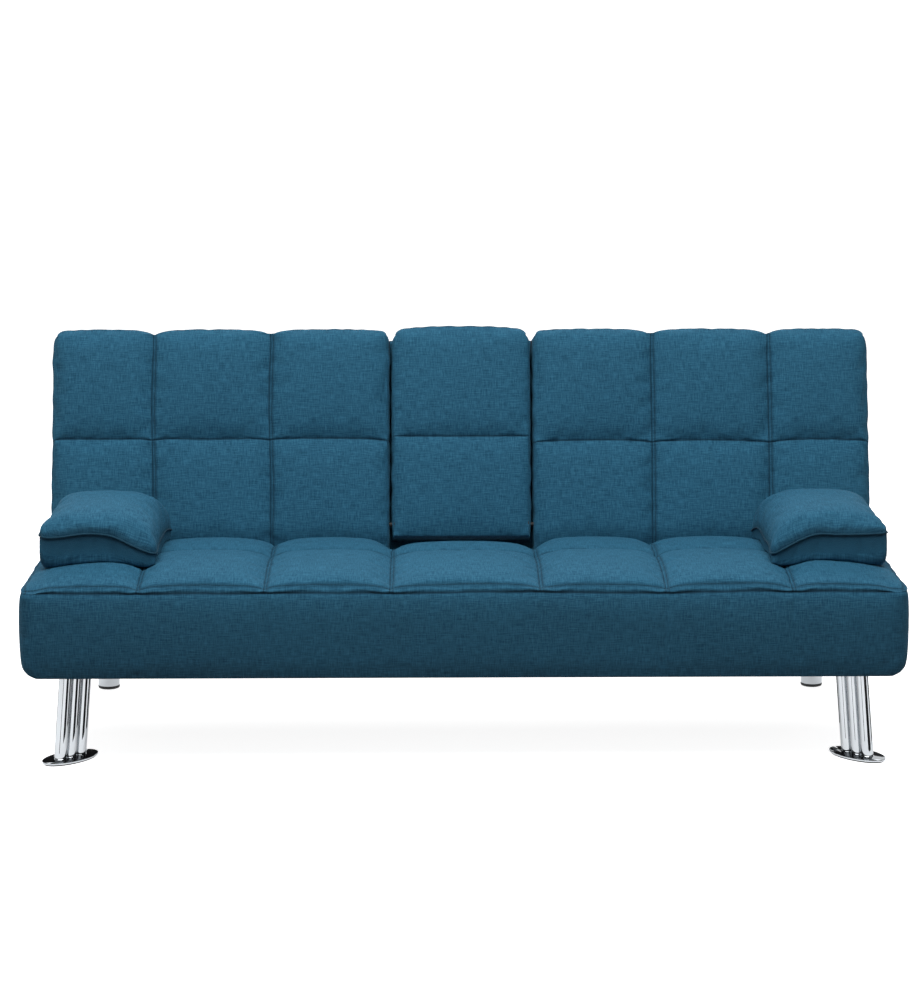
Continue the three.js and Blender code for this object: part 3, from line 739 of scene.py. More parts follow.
class Stuffing:
    """Blows a cushion up with a short cloth simulation."""

    def __init__(self, pressure: float, reach: float, spare: float, frames: int = 18) -> None:
        """Keeps the settings.

        Args:
            pressure: The cloth's inner pressure.
            reach: The furthest a point may move, in metres.
            spare: How much larger the cloth is cut than the cushion.
            frames: How many steps to run.
        """
        self.pressure, self.reach, self.spare, self.frames = pressure, reach, spare, frames

    def run(self, mesh: bpy.types.Mesh, hold: np.ndarray, give: np.ndarray | None = None) -> None:
        """Moves the mesh's points.

        Args:
            mesh: The cushion's mesh.
            hold: How firmly each point is held, 0 to 1.
            give: How much of the cloth's move each point takes, 0 to 1.
        """
        scene = bpy.context.scene
        obj = bpy.data.objects.new("cushion_in_progress", mesh)
        scene.collection.objects.link(obj)
        group = obj.vertex_groups.new(name="held")
        for value in np.unique(hold.round(2)):
            if value > 0:
                group.add([int(n) for n in np.flatnonzero(hold.round(2) == value)], float(value), "REPLACE")
        start = self._read(mesh)
        cloth = obj.modifiers.new("cloth", "CLOTH")
        s = cloth.settings
        s.quality = 6
        s.mass = 0.3
        s.tension_stiffness = s.compression_stiffness = 18.0
        s.shear_stiffness = 6.0
        s.bending_stiffness = 0.35
        s.tension_damping = s.compression_damping = 12.0
        s.air_damping = 3.0
        s.use_pressure = True
        s.uniform_pressure_force = self.pressure
        s.shrink_min = -self.spare
        s.vertex_group_mass = "held"
        s.pin_stiffness = 1.0
        s.effector_weights.gravity = 0.0
        cloth.collision_settings.use_collision = False
        cloth.point_cache.frame_start = 1
        cloth.point_cache.frame_end = self.frames + 1
        for step in range(1, self.frames + 1):
            scene.frame_set(step)
        done = obj.evaluated_get(bpy.context.evaluated_depsgraph_get())
        moved = self._read(done.data) - start
        scene.frame_set(1)
        far = np.linalg.norm(moved, axis=1, keepdims=True)
        share = np.where(
            far > NOT_ZERO, self.reach * np.tanh(far / self.reach) / np.maximum(far, NOT_ZERO), 0.0
        )
        moved = moved * share
        if give is not None:
            moved = moved * give[:, None]
        log.info(
            "cloth moved %.1f mm on average, %.1f mm at most",
            1000 * np.linalg.norm(moved, axis=1).mean(),
            1000 * np.linalg.norm(moved, axis=1).max()
        )
        bpy.data.objects.remove(obj)
        mesh.vertices.foreach_set("co", (start + moved).astype(np.float32).ravel())
        mesh.update()

    @staticmethod
    def _read(mesh: bpy.types.Mesh) -> np.ndarray:
        """The positions of a mesh's points."""
        data = np.zeros(len(mesh.vertices) * 3, np.float32)
        mesh.vertices.foreach_get("co", data)
        return data.reshape(-1, 3).astype(float)


def refine(obj: bpy.types.Object, levels: int = 1) -> None:
    """Applies subdivision to a piece.

    Args:
        obj: The piece.
        levels: How many rounds.
    """
    mod = obj.modifiers.new("smooth", "SUBSURF")
    mod.levels = mod.render_levels = levels
    mod.boundary_smooth = "PRESERVE_CORNERS"
    done = obj.evaluated_get(bpy.context.evaluated_depsgraph_get())
    mesh = bpy.data.meshes.new_from_object(done)
    obj.modifiers.remove(mod)
    obj.data = mesh


class Stitches:
    """Short raised stitches of thread that follow rows of points on cushions."""

    def __init__(self, length: float = 0.0052, gap: float = 0.0018, radius: float = 0.00042) -> None:
        """Keeps the size of a stitch.

        Args:
            length: Along the seam.
            gap: Between one stitch and the next.
            radius: Half the thread's thickness.
        """
        self.length, self.gap, self.radius = length, gap, radius
        self.points: list[np.ndarray] = []
        self.quads: list[tuple[int, int, int, int]] = []

    def sew(self, path: np.ndarray, lift: np.ndarray) -> None:
        """Adds stitches along a path.

        Args:
            path: Points on the cloth.
            lift: The cloth's outward direction at each.
        """
        steps = np.linalg.norm(np.diff(path, axis=0), axis=1)
        reach = np.concatenate([[0.0], np.cumsum(steps)])
        count = int(reach[-1] // (self.length + self.gap))
        for n in range(count):
            begin = n * (self.length + self.gap) + self.gap / 2
            marks = begin + self.length * np.array([0.0, 0.5, 1.0])
            spots = np.stack([np.interp(marks, reach, path[:, c]) for c in range(3)], axis=1)
            up = np.stack([np.interp(marks, reach, lift[:, c]) for c in range(3)], axis=1)
            up /= np.maximum(np.linalg.norm(up, axis=1, keepdims=True), NOT_ZERO)
            rise = self.radius * np.array([-0.4, 1.1, -0.4])
            self._stitch(spots + up * rise[:, None], up)

    def _stitch(self, spots: np.ndarray, up: np.ndarray) -> None:
        """Adds one stitch as a bent rod of three rings.

        Args:
            spots: Points along the stitch.
            up: The cloth's normal there.
        """
        way = spots[2] - spots[0]
        way /= max(np.linalg.norm(way), NOT_ZERO)
        base = sum(len(p) for p in self.points)
        ring = []
        for spot, lift in zip(spots, up):
            side = np.cross(way, lift)
            side /= max(np.linalg.norm(side), NOT_ZERO)
            for k in range(5):
                a = 2 * math.pi * k / 5
                ring.append(spot + self.radius * (math.cos(a) * side + math.sin(a) * lift))
        self.points.append(np.array(ring))
        for r in range(2):
            for k in range(5):
                q = (k + 1) % 5
                self.quads.append(
                    (base + r * 5 + k, base + r * 5 + q, base + r * 5 + 5 + q, base + r * 5 + 5 + k)
                )

    def piece(self, name: str, material: bpy.types.Material, body: str) -> bpy.types.Object | None:
        """Makes all the stitches one piece.

        Args:
            name: The piece's name.
            material: Its finish.
            body: The body it rides on.

        Returns:
            The piece.
        """
        if not self.points:
            return None
        mesh = bpy.data.meshes.new(name)
        mesh.from_pydata(np.concatenate(self.points).tolist(), [], self.quads)
        mesh.update()
        return link(name, mesh, material, body)


@dataclass
class Quilt:
    """A boxed cushion with sewn lines, shaped, stuffed and stitched."""

    name: str
    body: str
    nodes: tuple[str, ...]
    size: tuple[float, float, float]
    seams: tuple[Seam, ...]
    place: Matrix
    step: float = 0.009
    tuft: float = 0.0085
    fill: float = 0.6
    stuffing: Stuffing = field(default_factory=lambda: Stuffing(4.0, 0.008, 0.02))
    extra: tuple[tuple[float, ...], tuple[float, ...], tuple[float, ...]] = ((), (), ())
    seed: int = 1

    def omit(self, face: str, middle: np.ndarray) -> bool:
        """Says which cells of the box stay open."""
        return False

    def shape(self, p: np.ndarray) -> np.ndarray:
        """Shapes the box's points; a kind of cushion gives its own."""
        return p

    def rest(self, p: np.ndarray) -> np.ndarray:
        """How firmly each point is held while the cushion is stuffed."""
        return np.zeros(len(p))

    def on_faces(self, p: np.ndarray, faces: tuple[str, ...]) -> np.ndarray:
        """Marks the points on any of the named faces.

        Args:
            p: Points of the plain box.
            faces: The faces' names.

        Returns:
            True for each such point.
        """
        ends = {"low": (0, 0.0), "high": (0, self.size[0]), "front": (1, 0.0)}
        ends |= {"rear": (1, self.size[1]), "bottom": (2, 0.0), "top": (2, self.size[2])}
        marked = np.zeros(len(p), bool)
        for face in faces:
            axis, at = ends[face]
            marked |= np.abs(p[:, axis] - at) < ON_PLANE
        return marked

    def gap_to_seams(self, p: np.ndarray) -> np.ndarray:
        """Distance of each point to the nearest sewn line, in metres."""
        gap = np.full(len(p), 1.0)
        for seam in self.seams:
            here = self.on_faces(p, seam.faces)
            gap = np.where(here, np.minimum(gap, np.abs(p[:, seam.axis] - seam.at)), gap)
        return gap

    def marks(self, p: np.ndarray) -> np.ndarray:
        """How much painted shade darkens the cloth at each point along the seams and their topstitching.

        Args:
            p: Points of the plain box.

        Returns:
            Values of 0 to 1.
        """
        # painted shade: a dark line in each seam groove, and darker lines under the topstitching
        dark = np.exp(-((self.gap_to_seams(p) / SEAM_SHADE_WIDTH) ** 2))
        for seam in self.seams:
            gap = np.where(self.on_faces(p, seam.faces), np.abs(p[:, seam.axis] - seam.at), 1.0)
            dark = np.maximum(dark, np.exp(-((gap / seam.mark) ** 2)))
            for offset in seam.stitch:
                gap = np.where(
                    self.on_faces(p, seam.faces), np.abs(p[:, seam.axis] - seam.at - offset), 1.0
                )
                dark = np.maximum(dark, 0.62 * (gap < 1e-4))
        return dark

    def dips(self, p: np.ndarray) -> np.ndarray:
        """How deep the cloth is drawn in by the seams at each point.

        Args:
            p: Points of the plain box.

        Returns:
            Depths in metres.
        """
        deepest = np.zeros(len(p))
        nearest = {0: np.full(len(p), 1.0), 1: np.full(len(p), 1.0), 2: np.full(len(p), 1.0)}
        for seam in self.seams:
            gap = np.where(self.on_faces(p, seam.faces), np.abs(p[:, seam.axis] - seam.at), 1.0)
            deepest = np.maximum(deepest, seam.dip(gap))
            nearest[seam.axis] = np.minimum(nearest[seam.axis], gap)
        first, second = sorted(nearest, key=lambda axis: -sum(s.axis == axis for s in self.seams))[:2]
        pull = np.exp(-np.hypot(nearest[first], nearest[second]) / 0.016)
        return deepest + self.tuft * pull

    def build(self, finishes: Finishes) -> bpy.types.Object:
        """Makes the cushion and its stitches.

        Args:
            finishes: The sofa's finishes.

        Returns:
            The cushion.
        """
        marks = [[s.at for s in self.seams if s.axis == axis] for axis in range(3)]
        lines = [self._lines(axis, marks[axis]) for axis in range(3)]
        lattice = Lattice(*lines, omit=self.omit)
        p = lattice.points
        gap = self.gap_to_seams(p)
        shaped = self.shape(p)
        mesh = lattice.mesh(self.name, shaped, self.marks(p))
        hold = np.maximum(self.rest(p), np.where(gap < ON_PLANE, 1.0, 0.0))
        self.stuffing.run(mesh, hold, self.give(p))
        mesh.transform(self.place)
        obj = link(self.name, mesh, finishes.linen, self.body)
        refine(obj)
        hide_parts(*self.nodes)
        self._sew(lattice, obj, finishes)
        return obj

    def give(self, p: np.ndarray) -> np.ndarray | None:
        """How much of the stuffing's move each point takes."""
        return None

    def _lines(self, axis: int, marks: Sequence[float]) -> np.ndarray:
        """Grid lines along one axis: edges, seams and any extra places.

        Args:
            axis: Which axis.
            marks: Places of the seams.

        Returns:
            The positions in order.
        """
        length = self.size[axis]
        lines = spaced(length, self.step, marks)
        rim = [
            0.0025, 0.0055, 0.010, 0.015, length - 0.015, length - 0.010, length - 0.0055, length - 0.0025
        ]
        for x in (*rim, *self.extra[axis]):
            lines = self._snap(lines, x, marks)
        return lines

    def _snap(self, lines: np.ndarray, x: float, marks: Sequence[float]) -> np.ndarray:
        """Puts a grid line at x, moving a near one there if it marks nothing.

        Args:
            lines: The grid lines so far.
            x: The place.
            marks: Places of the seams.

        Returns:
            The new grid lines.
        """
        n = int(np.argmin(np.abs(lines - x)))
        if abs(lines[n] - x) < ON_PLANE or not 0 < x < self.size[0] + self.size[1] + self.size[2]:
            return lines
        fixed = n in (0, len(lines) - 1) or any(abs(lines[n] - m) < 0.0105 for m in marks)
        if abs(lines[n] - x) < 0.0035 and not fixed:
            lines[n] = x
            return np.sort(lines)
        return np.sort(np.append(lines, x)) if abs(lines[n] - x) > 0.0015 else lines

    def _sew(self, lattice: Lattice, obj: bpy.types.Object, finishes: Finishes) -> None:
        """Runs topstitching beside the seams.

        Args:
            lattice: The cushion's grid.
            obj: The piece.
            finishes: The sofa's finishes.
        """
        thread = Stitches(0.0048, 0.0016, 0.00036)
        mesh = obj.data
        co = Stuffing._read(mesh)
        normal = np.zeros(len(mesh.vertices) * 3, np.float32)
        mesh.vertices.foreach_get("normal", normal)
        normal = normal.reshape(-1, 3)
        axes = (lattice.xs, lattice.ys, lattice.zs)
        for seam in self.seams:
            for offset in seam.stitch:
                at = seam.at + offset
                n = int(np.argmin(np.abs(axes[seam.axis] - at)))
                if abs(axes[seam.axis][n] - at) > 1e-4:
                    continue
                for face in seam.faces:
                    rows = self._row(lattice, seam.axis, n, face)
                    if len(rows) > 2:
                        thread.sew(co[rows], normal[rows])
        thread.piece(f"{self.name}_stitches", finishes.thread, self.body)

    @staticmethod
    def _row(lattice: Lattice, axis: int, n: int, face: str) -> list[int]:
        """The points of one grid line across a face, in order.

        Args:
            lattice: The cushion's grid.
            axis: Which axis.
            n: Which grid line.
            face: The face's name.

        Returns:
            Their numbers.
        """
        counts = (len(lattice.xs) - 1, len(lattice.ys) - 1, len(lattice.zs) - 1)
        fixed = {"low": (0, 0), "high": (0, counts[0]), "front": (1, 0)}
        fixed |= {"rear": (1, counts[1]), "bottom": (2, 0), "top": (2, counts[2])}
        flat, at = fixed[face]
        if flat == axis:
            return []
        free = 3 - flat - axis
        rows = []
        for m in range(counts[free] + 1):
            key = [0, 0, 0]
            key[axis], key[flat], key[free] = n, at, m
            if tuple(key) in lattice.index:
                rows.append(lattice.index[tuple(key)])
        return rows


def cells(x: np.ndarray, edges: Sequence[float], sharp: float = 2.4) -> np.ndarray:
    """How far into its cell each place lies: 0 on the edges, 1 in the middle."""
    edges = np.asarray(edges)
    n = np.clip(np.searchsorted(edges, x) - 1, 0, len(edges) - 2)
    t = (x - edges[n]) / (edges[n + 1] - edges[n])
    return np.clip(1.0 - np.abs(2.0 * np.clip(t, 0, 1) - 1.0) ** sharp, 0.0, 1.0)


@dataclass
class SeatQuilt(Quilt):
    """The seat box's cover: flat sides, a seam round the top and a quilted, crowned top."""

    columns: tuple[float, ...] = (0.223, 0.460, 0.695, 0.975, 1.210, 1.447)
    row: float = 0.250
    slots: tuple[tuple[float, float, float, float], ...] = ()

    def omit(self, face: str, middle: np.ndarray) -> bool:
        """The bottom is open, and so are the slots for the steel in the rear wall.

        Args:
            face: The face's name.
            middle: The middle of one cell of it.

        Returns:
            Whether the cell is left open.
        """
        if face == "bottom":
            return True
        if face != "rear":
            return False
        x, z = middle[0], middle[2]
        return any(a < x < b and c < z < d for a, b, c, d in self.slots)

    def shape(self, p: np.ndarray) -> np.ndarray:
        """Rounds the box and raises its top.

        Args:
            p: Points of the plain box.

        Returns:
            The shaped points.
        """
        w, d, h = self.size
        q = p.copy()
        x, y, z = p.T
        top = np.abs(z - h) < ON_PLANE
        # crown of the top along the depth, then the shoulders at the two ends
        crown = np.interp(y, *np.array(SEAT_CROWN).T)
        end = np.minimum(x, w - x)
        shoulder = np.interp(end, *np.array(SEAT_SHOULDER).T)
        along = cells(x, [0.0, *self.columns, w])
        across = cells(y, [0.0, self.row, d])
        plump = 0.0115 * (along**0.75) * (0.74 + 0.26 * across**0.6) - 0.0095
        # the rear of the middle cell is hollowed where the console's heel comes down when it folds
        plump -= ramp(0.185 - np.abs(x - w / 2), 0.0, 0.045) * (0.0015 + 0.0090 * ramp(y, 0.285, 0.380))
        pucker = 0.0010 * ripple(p[:, :2], 0.030, self.seed) * np.exp(-self.gap_to_seams(p) / 0.020)
        inside = ramp(end, 0.004, 0.035) * ramp(y, 0.006, 0.045) * ramp(d - y, 0.0, 0.04)
        lines = ramp(end, 0.0, 0.006) * ramp(y, 0.004, 0.014) * ramp(d - y, 0.0, 0.02)
        rise = crown * shoulder + (plump + pucker) * inside - self.dips(p) * lines
        rear_drop = -0.020 * ramp(y, 0.40, 0.47)
        low_end = np.where(crown < 0, crown, crown * shoulder)
        q[:, 2] = np.where(top, h + np.where(crown < 0, low_end + (rise - crown * shoulder), rise), z)
        sides = ~top
        q[sides, 2] = (z + rear_drop * (z / h) * ramp(y, 0.3, 0.47))[sides]
        self._welt(q, p, top, end)
        # the walls swell a little and the box's corners are rounded
        wall = np.sin(np.clip(z / h, 0, 1) * math.pi) ** 0.7
        front = (np.abs(y) < ON_PLANE) & ~top
        q[front, 1] -= (
            (0.0035 * wall * (0.8 + 0.4 * ripple(p, 0.42, 5)))[front] * ramp(end, 0.0, 0.06)[front]
        )
        for at, sign in ((0.0, -1.0), (w, 1.0)):
            wallx = (np.abs(x - at) < ON_PLANE) & ~top
            q[wallx, 0] += (
                sign * (0.003 * wall * ramp(np.minimum(y, d - y), 0.0, 0.05))[wallx] - sign * 0.003
            )
        return round_box(q, p, self.size, 0.026, 0.028)

    def _welt(self, q: np.ndarray, p: np.ndarray, top: np.ndarray, end: np.ndarray) -> None:
        """Draws the seam round the top in, with a stitched roll above it.

        Args:
            q: The points as shaped so far.
            p: Points of the plain box.
            top: Which points are on the top.
            end: Distance from the nearer end.
        """
        w, _, h = self.size
        x, y, z = p.T
        runs = np.array([0.0, 0.0025, 0.0055, 0.010, 0.015, 0.030])
        roll = np.array([0.0050, -0.0020, -0.0026, 0.0034, 0.0014, 0.0])
        under = np.array([0.0050, 0.0016, 0.0005, 0.0, 0.0, 0.0])
        front = np.abs(y) < ON_PLANE
        q[:, 1] += np.where(
            top, np.interp(y, runs, roll), np.where(front, np.interp(h - z, runs, under), 0.0)
        )
        for at, sign in ((0.0, 1.0), (w, -1.0)):
            side = np.abs(x - at) < ON_PLANE
            push = np.where(
                top,
                np.interp(np.abs(x - at), runs, roll),
                np.where(side, np.interp(h - z, runs, under), 0.0)
            )
            q[:, 0] += (
                sign
                * (push * 0.6 + 0.002 * (np.abs(x - at) < 0.02) * (top | side) * np.exp(-(h - z) / 0.02))
            )
        wave = 0.0022 * ripple(p[:, :1], 0.55, 77) + 0.0008 * ripple(p[:, :1], 0.16, 78)
        near = np.exp(-np.where(top, np.minimum(y, end), h - z) / 0.030)
        q[:, 2] += wave * near * ramp(end, 0.0, 0.05)

    def gap_to_seams(self, p: np.ndarray) -> np.ndarray:
        """Distance to the nearest sewn line, the one round the top among them."""
        w, _, h = self.size
        top = np.abs(p[:, 2] - h) < ON_PLANE
        rim = np.where(top, np.minimum.reduce([p[:, 1], p[:, 0], w - p[:, 0]]), h - p[:, 2])
        return np.minimum(super().gap_to_seams(p), rim * 0.75)

    def rest(self, p: np.ndarray) -> np.ndarray:
        """The cloth is tacked down at the bottom and sewn round the top."""
        _, d, h = self.size
        z = p[:, 2]
        rim = (np.abs(z - h) < ON_PLANE) & (self.on_faces(p, ("front", "low", "high", "rear")))
        return np.where((z < 0.012) | rim | (np.abs(p[:, 1] - d) < ON_PLANE), 1.0, 0.0)

    def give(self, p: np.ndarray) -> np.ndarray:
        """The walls are tighter than the top."""
        return np.where(np.abs(p[:, 2] - self.size[2]) < ON_PLANE, 1.0, 0.45)


def round_box(
    q: np.ndarray, p: np.ndarray, size: tuple[float, float, float], upright: float, low: float
) -> np.ndarray:
    """Rounds the upright corners and the lower edges of a shaped box.

    Args:
        q: The shaped points.
        p: The same points on the plain box.
        size: The box's size.
        upright: The radius of the upright corners.
        low: The radius of the lower edges.

    Returns:
        The points.
    """
    out = q.copy()
    w, d, _ = size
    dx = np.maximum(upright - p[:, 0], 0) - np.maximum(p[:, 0] - (w - upright), 0)
    dy = np.maximum(upright - p[:, 1], 0) - np.maximum(p[:, 1] - (d - upright), 0)
    far = np.hypot(dx, dy)
    box = np.maximum(np.abs(dx), np.abs(dy))
    pull = np.where(far > upright * ON_PLANE, 1.0 - box / np.maximum(far, NOT_ZERO), 0.0)
    out[:, 0] += dx * pull
    out[:, 1] += dy * pull
    near = np.clip((low - p[:, 2]) / low, 0, 1)
    tuck = low * (1 - np.sqrt(1 - near**2))
    for axis, length, share in ((0, w, 0.72), (1, d, 0.08)):
        a = p[:, axis]
        out[:, axis] += (
            share * tuck * (np.clip(1 - a / 0.06, 0, 1) - np.clip(1 - (length - a) / 0.06, 0, 1))
        )
    return out


@dataclass
class BackQuilt(Quilt):
    """One back cushion, or the console: a quilted face with rounded edges all round."""

    face: float = 0.060
    pivot: float = 0.046
    radii: tuple[float, float] = (0.020, 0.027)
    crown: float = 0.0095
    top_crown: float = 0.0058
    curved: bool = True
    slots: tuple[tuple[float, float], ...] = ()
    slot_top: float = 0.078
    cuts: tuple[tuple[float, ...], tuple[float, ...]] = ((), ())
    hollow: bool = False

    def omit(self, face: str, middle: np.ndarray) -> bool:
        """Leaves the slits for the hinges open, and the console's rear."""
        if self.hollow and face == "rear":
            return True
        return middle[2] < self.slot_top and any(a < middle[0] < b for a, b in self.slots)

    def shape(self, p: np.ndarray) -> np.ndarray:
        """Gives the cushion its curved foot, rounded edges and quilted face.

        Args:
            p: Points of the plain box.

        Returns:
            The shaped points.
        """
        w, d, h = self.size
        x, y, z = p.T
        q = p.copy()
        gap = self.gap_to_seams(p)
        along = cells(x, [0.0, *self.cuts[0], w], 3.0)
        across = cells(z, [0.0, *self.cuts[1], h], 2.0)
        dips = self.dips(p)
        plump = self.crown * (along**0.62) * (0.15 + 0.85 * across) - self.crown * 0.25
        pucker = 0.0008 * ripple(p[:, [0, 2]], 0.030, self.seed) * np.exp(-gap / 0.020)
        edge = np.minimum.reduce([x, w - x, h - z])
        hem = (
            0.0012 * ripple(p[:, [0, 2]] * [0.3, 1.0], 0.011, self.seed + 3)
            * np.exp(-np.minimum(x, w - x) / 0.012)
        )
        inside = ramp(edge, -0.002, 0.022)
        front = np.abs(y) < ON_PLANE
        lip = sum(
            0.0016 * np.exp(-(((z - s.at - 0.0030) / 0.0018) ** 2)) for s in self.seams if s.axis == 2
        )
        q[front, 1] -= ((plump + pucker) * inside + (lip - dips) * ramp(edge, 0.002, 0.012) + hem)[front]
        top = np.abs(z - h) < ON_PLANE
        q[top, 2] += (
            self.top_crown * (along**0.85) * ramp(np.minimum(y, d - y), 0.0, 0.02) - dips * 0.7
        )[top]
        # the sewn lines wander: rows arch between the columns, columns sway
        if self.cuts[0]:
            row = self.cuts[1][0]
            arch = 0.0045 * along**0.8 - 0.001 + 0.0012 * ripple(p[:, :1], 0.30, self.seed + 5)
            q[:, 2] += arch * np.exp(-(((z - row) / 0.060) ** 2)) * front
            sway = 0.0026 * ripple(p[:, 2:], 0.45, self.seed + 6)
            q[:, 0] += sway * ramp(np.minimum(x, w - x), 0.0, 0.10) * ramp(h - z, 0.0, 0.05) * front
        for at, sign in ((0.0, -1.0), (w, 1.0)):
            side = np.abs(x - at) < ON_PLANE
            belly = 0.0022 * np.sin(math.pi * np.clip(y / d, 0, 1)) * ramp(np.minimum(z, h - z), 0, 0.05)
            belly += 0.0009 * ripple(p[:, 1:], 0.045, self.seed + 7) - 0.0022
            q[side, 0] += (sign * belly)[side]
        q = self._round(q, p)
        if self.curved:
            q[:, 1] = self._foot(q, p)
        return q

    def _round(self, q: np.ndarray, p: np.ndarray) -> np.ndarray:
        """Rounds the edges of the face and the corners of its outline.

        Args:
            q: The points as shaped so far.
            p: Points of the plain box.

        Returns:
            The points.
        """
        w, _, h = self.size
        inner, corner = self.radii
        out = q.copy()
        near_low = p[:, 0] < w / 2
        tight = near_low if self.slots_on_high else ~near_low
        edge_radius = np.where(tight | (not self.curved), 0.013, 0.019)
        # corners of the outline, seen from the front
        shrink = np.interp(p[:, 1], [0.0, 0.060, 0.080], [1.0, 0.85, 0.40 if self.curved else 0.85])
        for at, radius in (
            (0.0, inner if self.slots_on_high else corner), (w, corner if self.slots_on_high else inner)
        ):
            r = radius * shrink
            dx = np.maximum(r - np.abs(p[:, 0] - at), 0) * (1 if at == 0 else -1)
            dz = -np.maximum(p[:, 2] - (h - r), 0)
            far, box = np.hypot(dx, dz), np.maximum(np.abs(dx), np.abs(dz))
            pull = np.where((far > NOT_ZERO), 1.0 - box / np.maximum(far, NOT_ZERO), 0.0)
            out[:, 0] += dx * pull
            out[:, 2] += dz * pull
        # edges between the face and the sides
        dy = np.maximum(edge_radius - p[:, 1], 0)
        low = np.zeros(len(p)) if self.curved else np.maximum(edge_radius * 0.9 - p[:, 2], 0)
        dz = low - np.maximum(p[:, 2] - (h - edge_radius), 0)
        dx = np.maximum(edge_radius - p[:, 0], 0) - np.maximum(p[:, 0] - (w - edge_radius), 0)
        flat = np.where(np.abs(dx) > np.abs(dz), np.abs(dx), np.abs(dz))
        far, box = np.hypot(flat, dy), np.maximum(flat, dy)
        pull = np.where(
            (far > NOT_ZERO) & (flat > 0) & (dy > 0), 1.0 - box / np.maximum(far, NOT_ZERO), 0.0
        )
        out[:, 1] += dy * pull
        out[:, 0] += np.where(np.abs(dx) >= np.abs(dz), dx * pull, 0.0)
        out[:, 2] += np.where(np.abs(dx) < np.abs(dz), dz * pull, 0.0)
        return out

    @property
    def slots_on_high(self) -> bool:
        """Whether the outer end is at the high x."""
        return not self.slots or self.slots[0][0] > self.size[0] / 2

    def _foot(self, q: np.ndarray, p: np.ndarray) -> np.ndarray:
        """Draws the face back round the hinge at the cushion's foot.

        Args:
            q: The points as shaped so far.
            p: Points of the plain box.

        Returns:
            Their y.
        """
        d = self.size[1]
        z = p[:, 2] - self.pivot
        arc = np.sqrt(np.maximum(self.pivot**2 - np.minimum(z, 0.0) ** 2, 0.0))
        reach = np.where(z < 0, arc, self.pivot + (self.face - self.pivot) * ramp(z, -0.004, 0.050))
        start = self.face - reach
        return start + q[:, 1] * (d - start) / d

    def rest(self, p: np.ndarray) -> np.ndarray:
        """The cloth is tacked along its rear and round its foot.

        Args:
            p: Points of the plain box.

        Returns:
            How firmly each point is held, 0 to 1.
        """
        rear = np.abs(p[:, 1] - self.size[1]) < ON_PLANE
        foot = (p[:, 2] < 0.050) if self.curved else (p[:, 2] < ON_PLANE)
        slit = np.zeros(len(p), bool)
        for a, b in self.slots:
            slit |= (p[:, 0] > a - 0.012) & (p[:, 0] < b + 0.012) & (p[:, 2] < self.slot_top + 0.012)
        return np.where(rear | foot | slit, 1.0, 0.0)

    def give(self, p: np.ndarray) -> np.ndarray:
        """The face swells, the sides hardly."""
        side = (np.abs(p[:, 0]) < ON_PLANE) | (np.abs(p[:, 0] - self.size[0]) < ON_PLANE)
        return np.where(side, 0.2, 0.8)


@dataclass
class SeatUnit:
    """The seat's cover; its frame, springs and the cloth under it are dressed by Structure and DustCover.
    """

    height: float = 0.163

    def build(self, finishes: Finishes) -> bpy.types.Object:
        """Makes and dresses the seat.

        Args:
            finishes: The sofa's finishes.

        Returns:
            The seat's cushion.
        """
        lo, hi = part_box("seat_cover")
        columns = SeatQuilt.columns
        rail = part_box("base_left_rail")
        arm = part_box("hinge_left_seat_arm")
        slots = []
        for a, b, c, d in (
            (rail[0].x - 0.002, rail[1].x + 0.002, 0.0, rail[1].z + 0.003 - lo.z),
            (arm[1].x - 0.009, HALF - 0.0045, 0.030, 0.082),
        ):
            slots.append((a + HALF, b + HALF, c, d))
            slots.append((HALF - b, HALF - a, c, d))
        seams = tuple(Seam(0, c, ("top",), 0.0045, 0.010) for c in columns)
        seams += (
            Seam(1, SeatQuilt.row, ("top",), 0.0036, 0.006, (), 0.0066),
            Seam(1, 0.0, ("top",), 0.0, 0.01, (TOP_HEM,)),
            Seam(0, 0.0, ("top",), 0.0, 0.01, (TOP_HEM,)),
            Seam(0, 2 * HALF, ("top",), 0.0, 0.01, (-TOP_HEM,)),
        )
        quilt = SeatQuilt(
            name="seat_upholstery",
            body="base",
            nodes=("seat_cover", "seat_foam"),
            size=(2 * HALF, hi.y - lo.y, self.height),
            seams=seams,
            place=Matrix.Translation((-HALF, lo.y, lo.z)),
            step=0.0095,
            fill=0.75,
            stuffing=Stuffing(5.0, 0.006, 0.02),
            extra=(
                tuple(v for s in slots for v in s[:2]),
                (),
                tuple(sorted({v for s in slots for v in s[2:] if v > 0}))
            ),
            slots=tuple(slots),
        )
        log.info("seat_upholstery: %d seams", len(seams))
        return quilt.build(finishes)


def oval(half_x: float, half_y: float, count: int = 96) -> Callable[[float], np.ndarray]:
    """An ellipse's outline as a function of how far it is taken in."""
    turn = np.linspace(0, 2 * math.pi, count, endpoint=False)
    return lambda inset: np.stack(
        [(half_x - inset) * np.cos(turn), (half_y - inset) * np.sin(turn)], axis=1
    )


def oblong(half_x: float, half_y: float, radius: float, count: int = 8) -> Callable[[float], np.ndarray]:
    """A rectangle's outline with round corners, as a function of how far it is taken in.

    Args:
        half_x: Half its size in x.
        half_y: Half its size in y.
        radius: The corners' radius.
        count: Points to each corner.

    Returns:
        The outline.
    """

    def outline(inset: float) -> np.ndarray:
        """The outline at one inset.

        Args:
            inset: How far it is taken in.

        Returns:
            Its points.
        """
        r = max(radius - inset, 0.0002)
        points = []
        for n, (sx, sy) in enumerate(((1, 1), (-1, 1), (-1, -1), (1, -1))):
            for k in range(count + 1):
                a = math.pi / 2 * (n + k / count)
                points.append(
                    (
                        sx * (half_x - inset - r) + r * math.cos(a),
                        sy * (half_y - inset - r) + r * math.sin(a)
                    )
                )
        return np.array(points)

    return outline


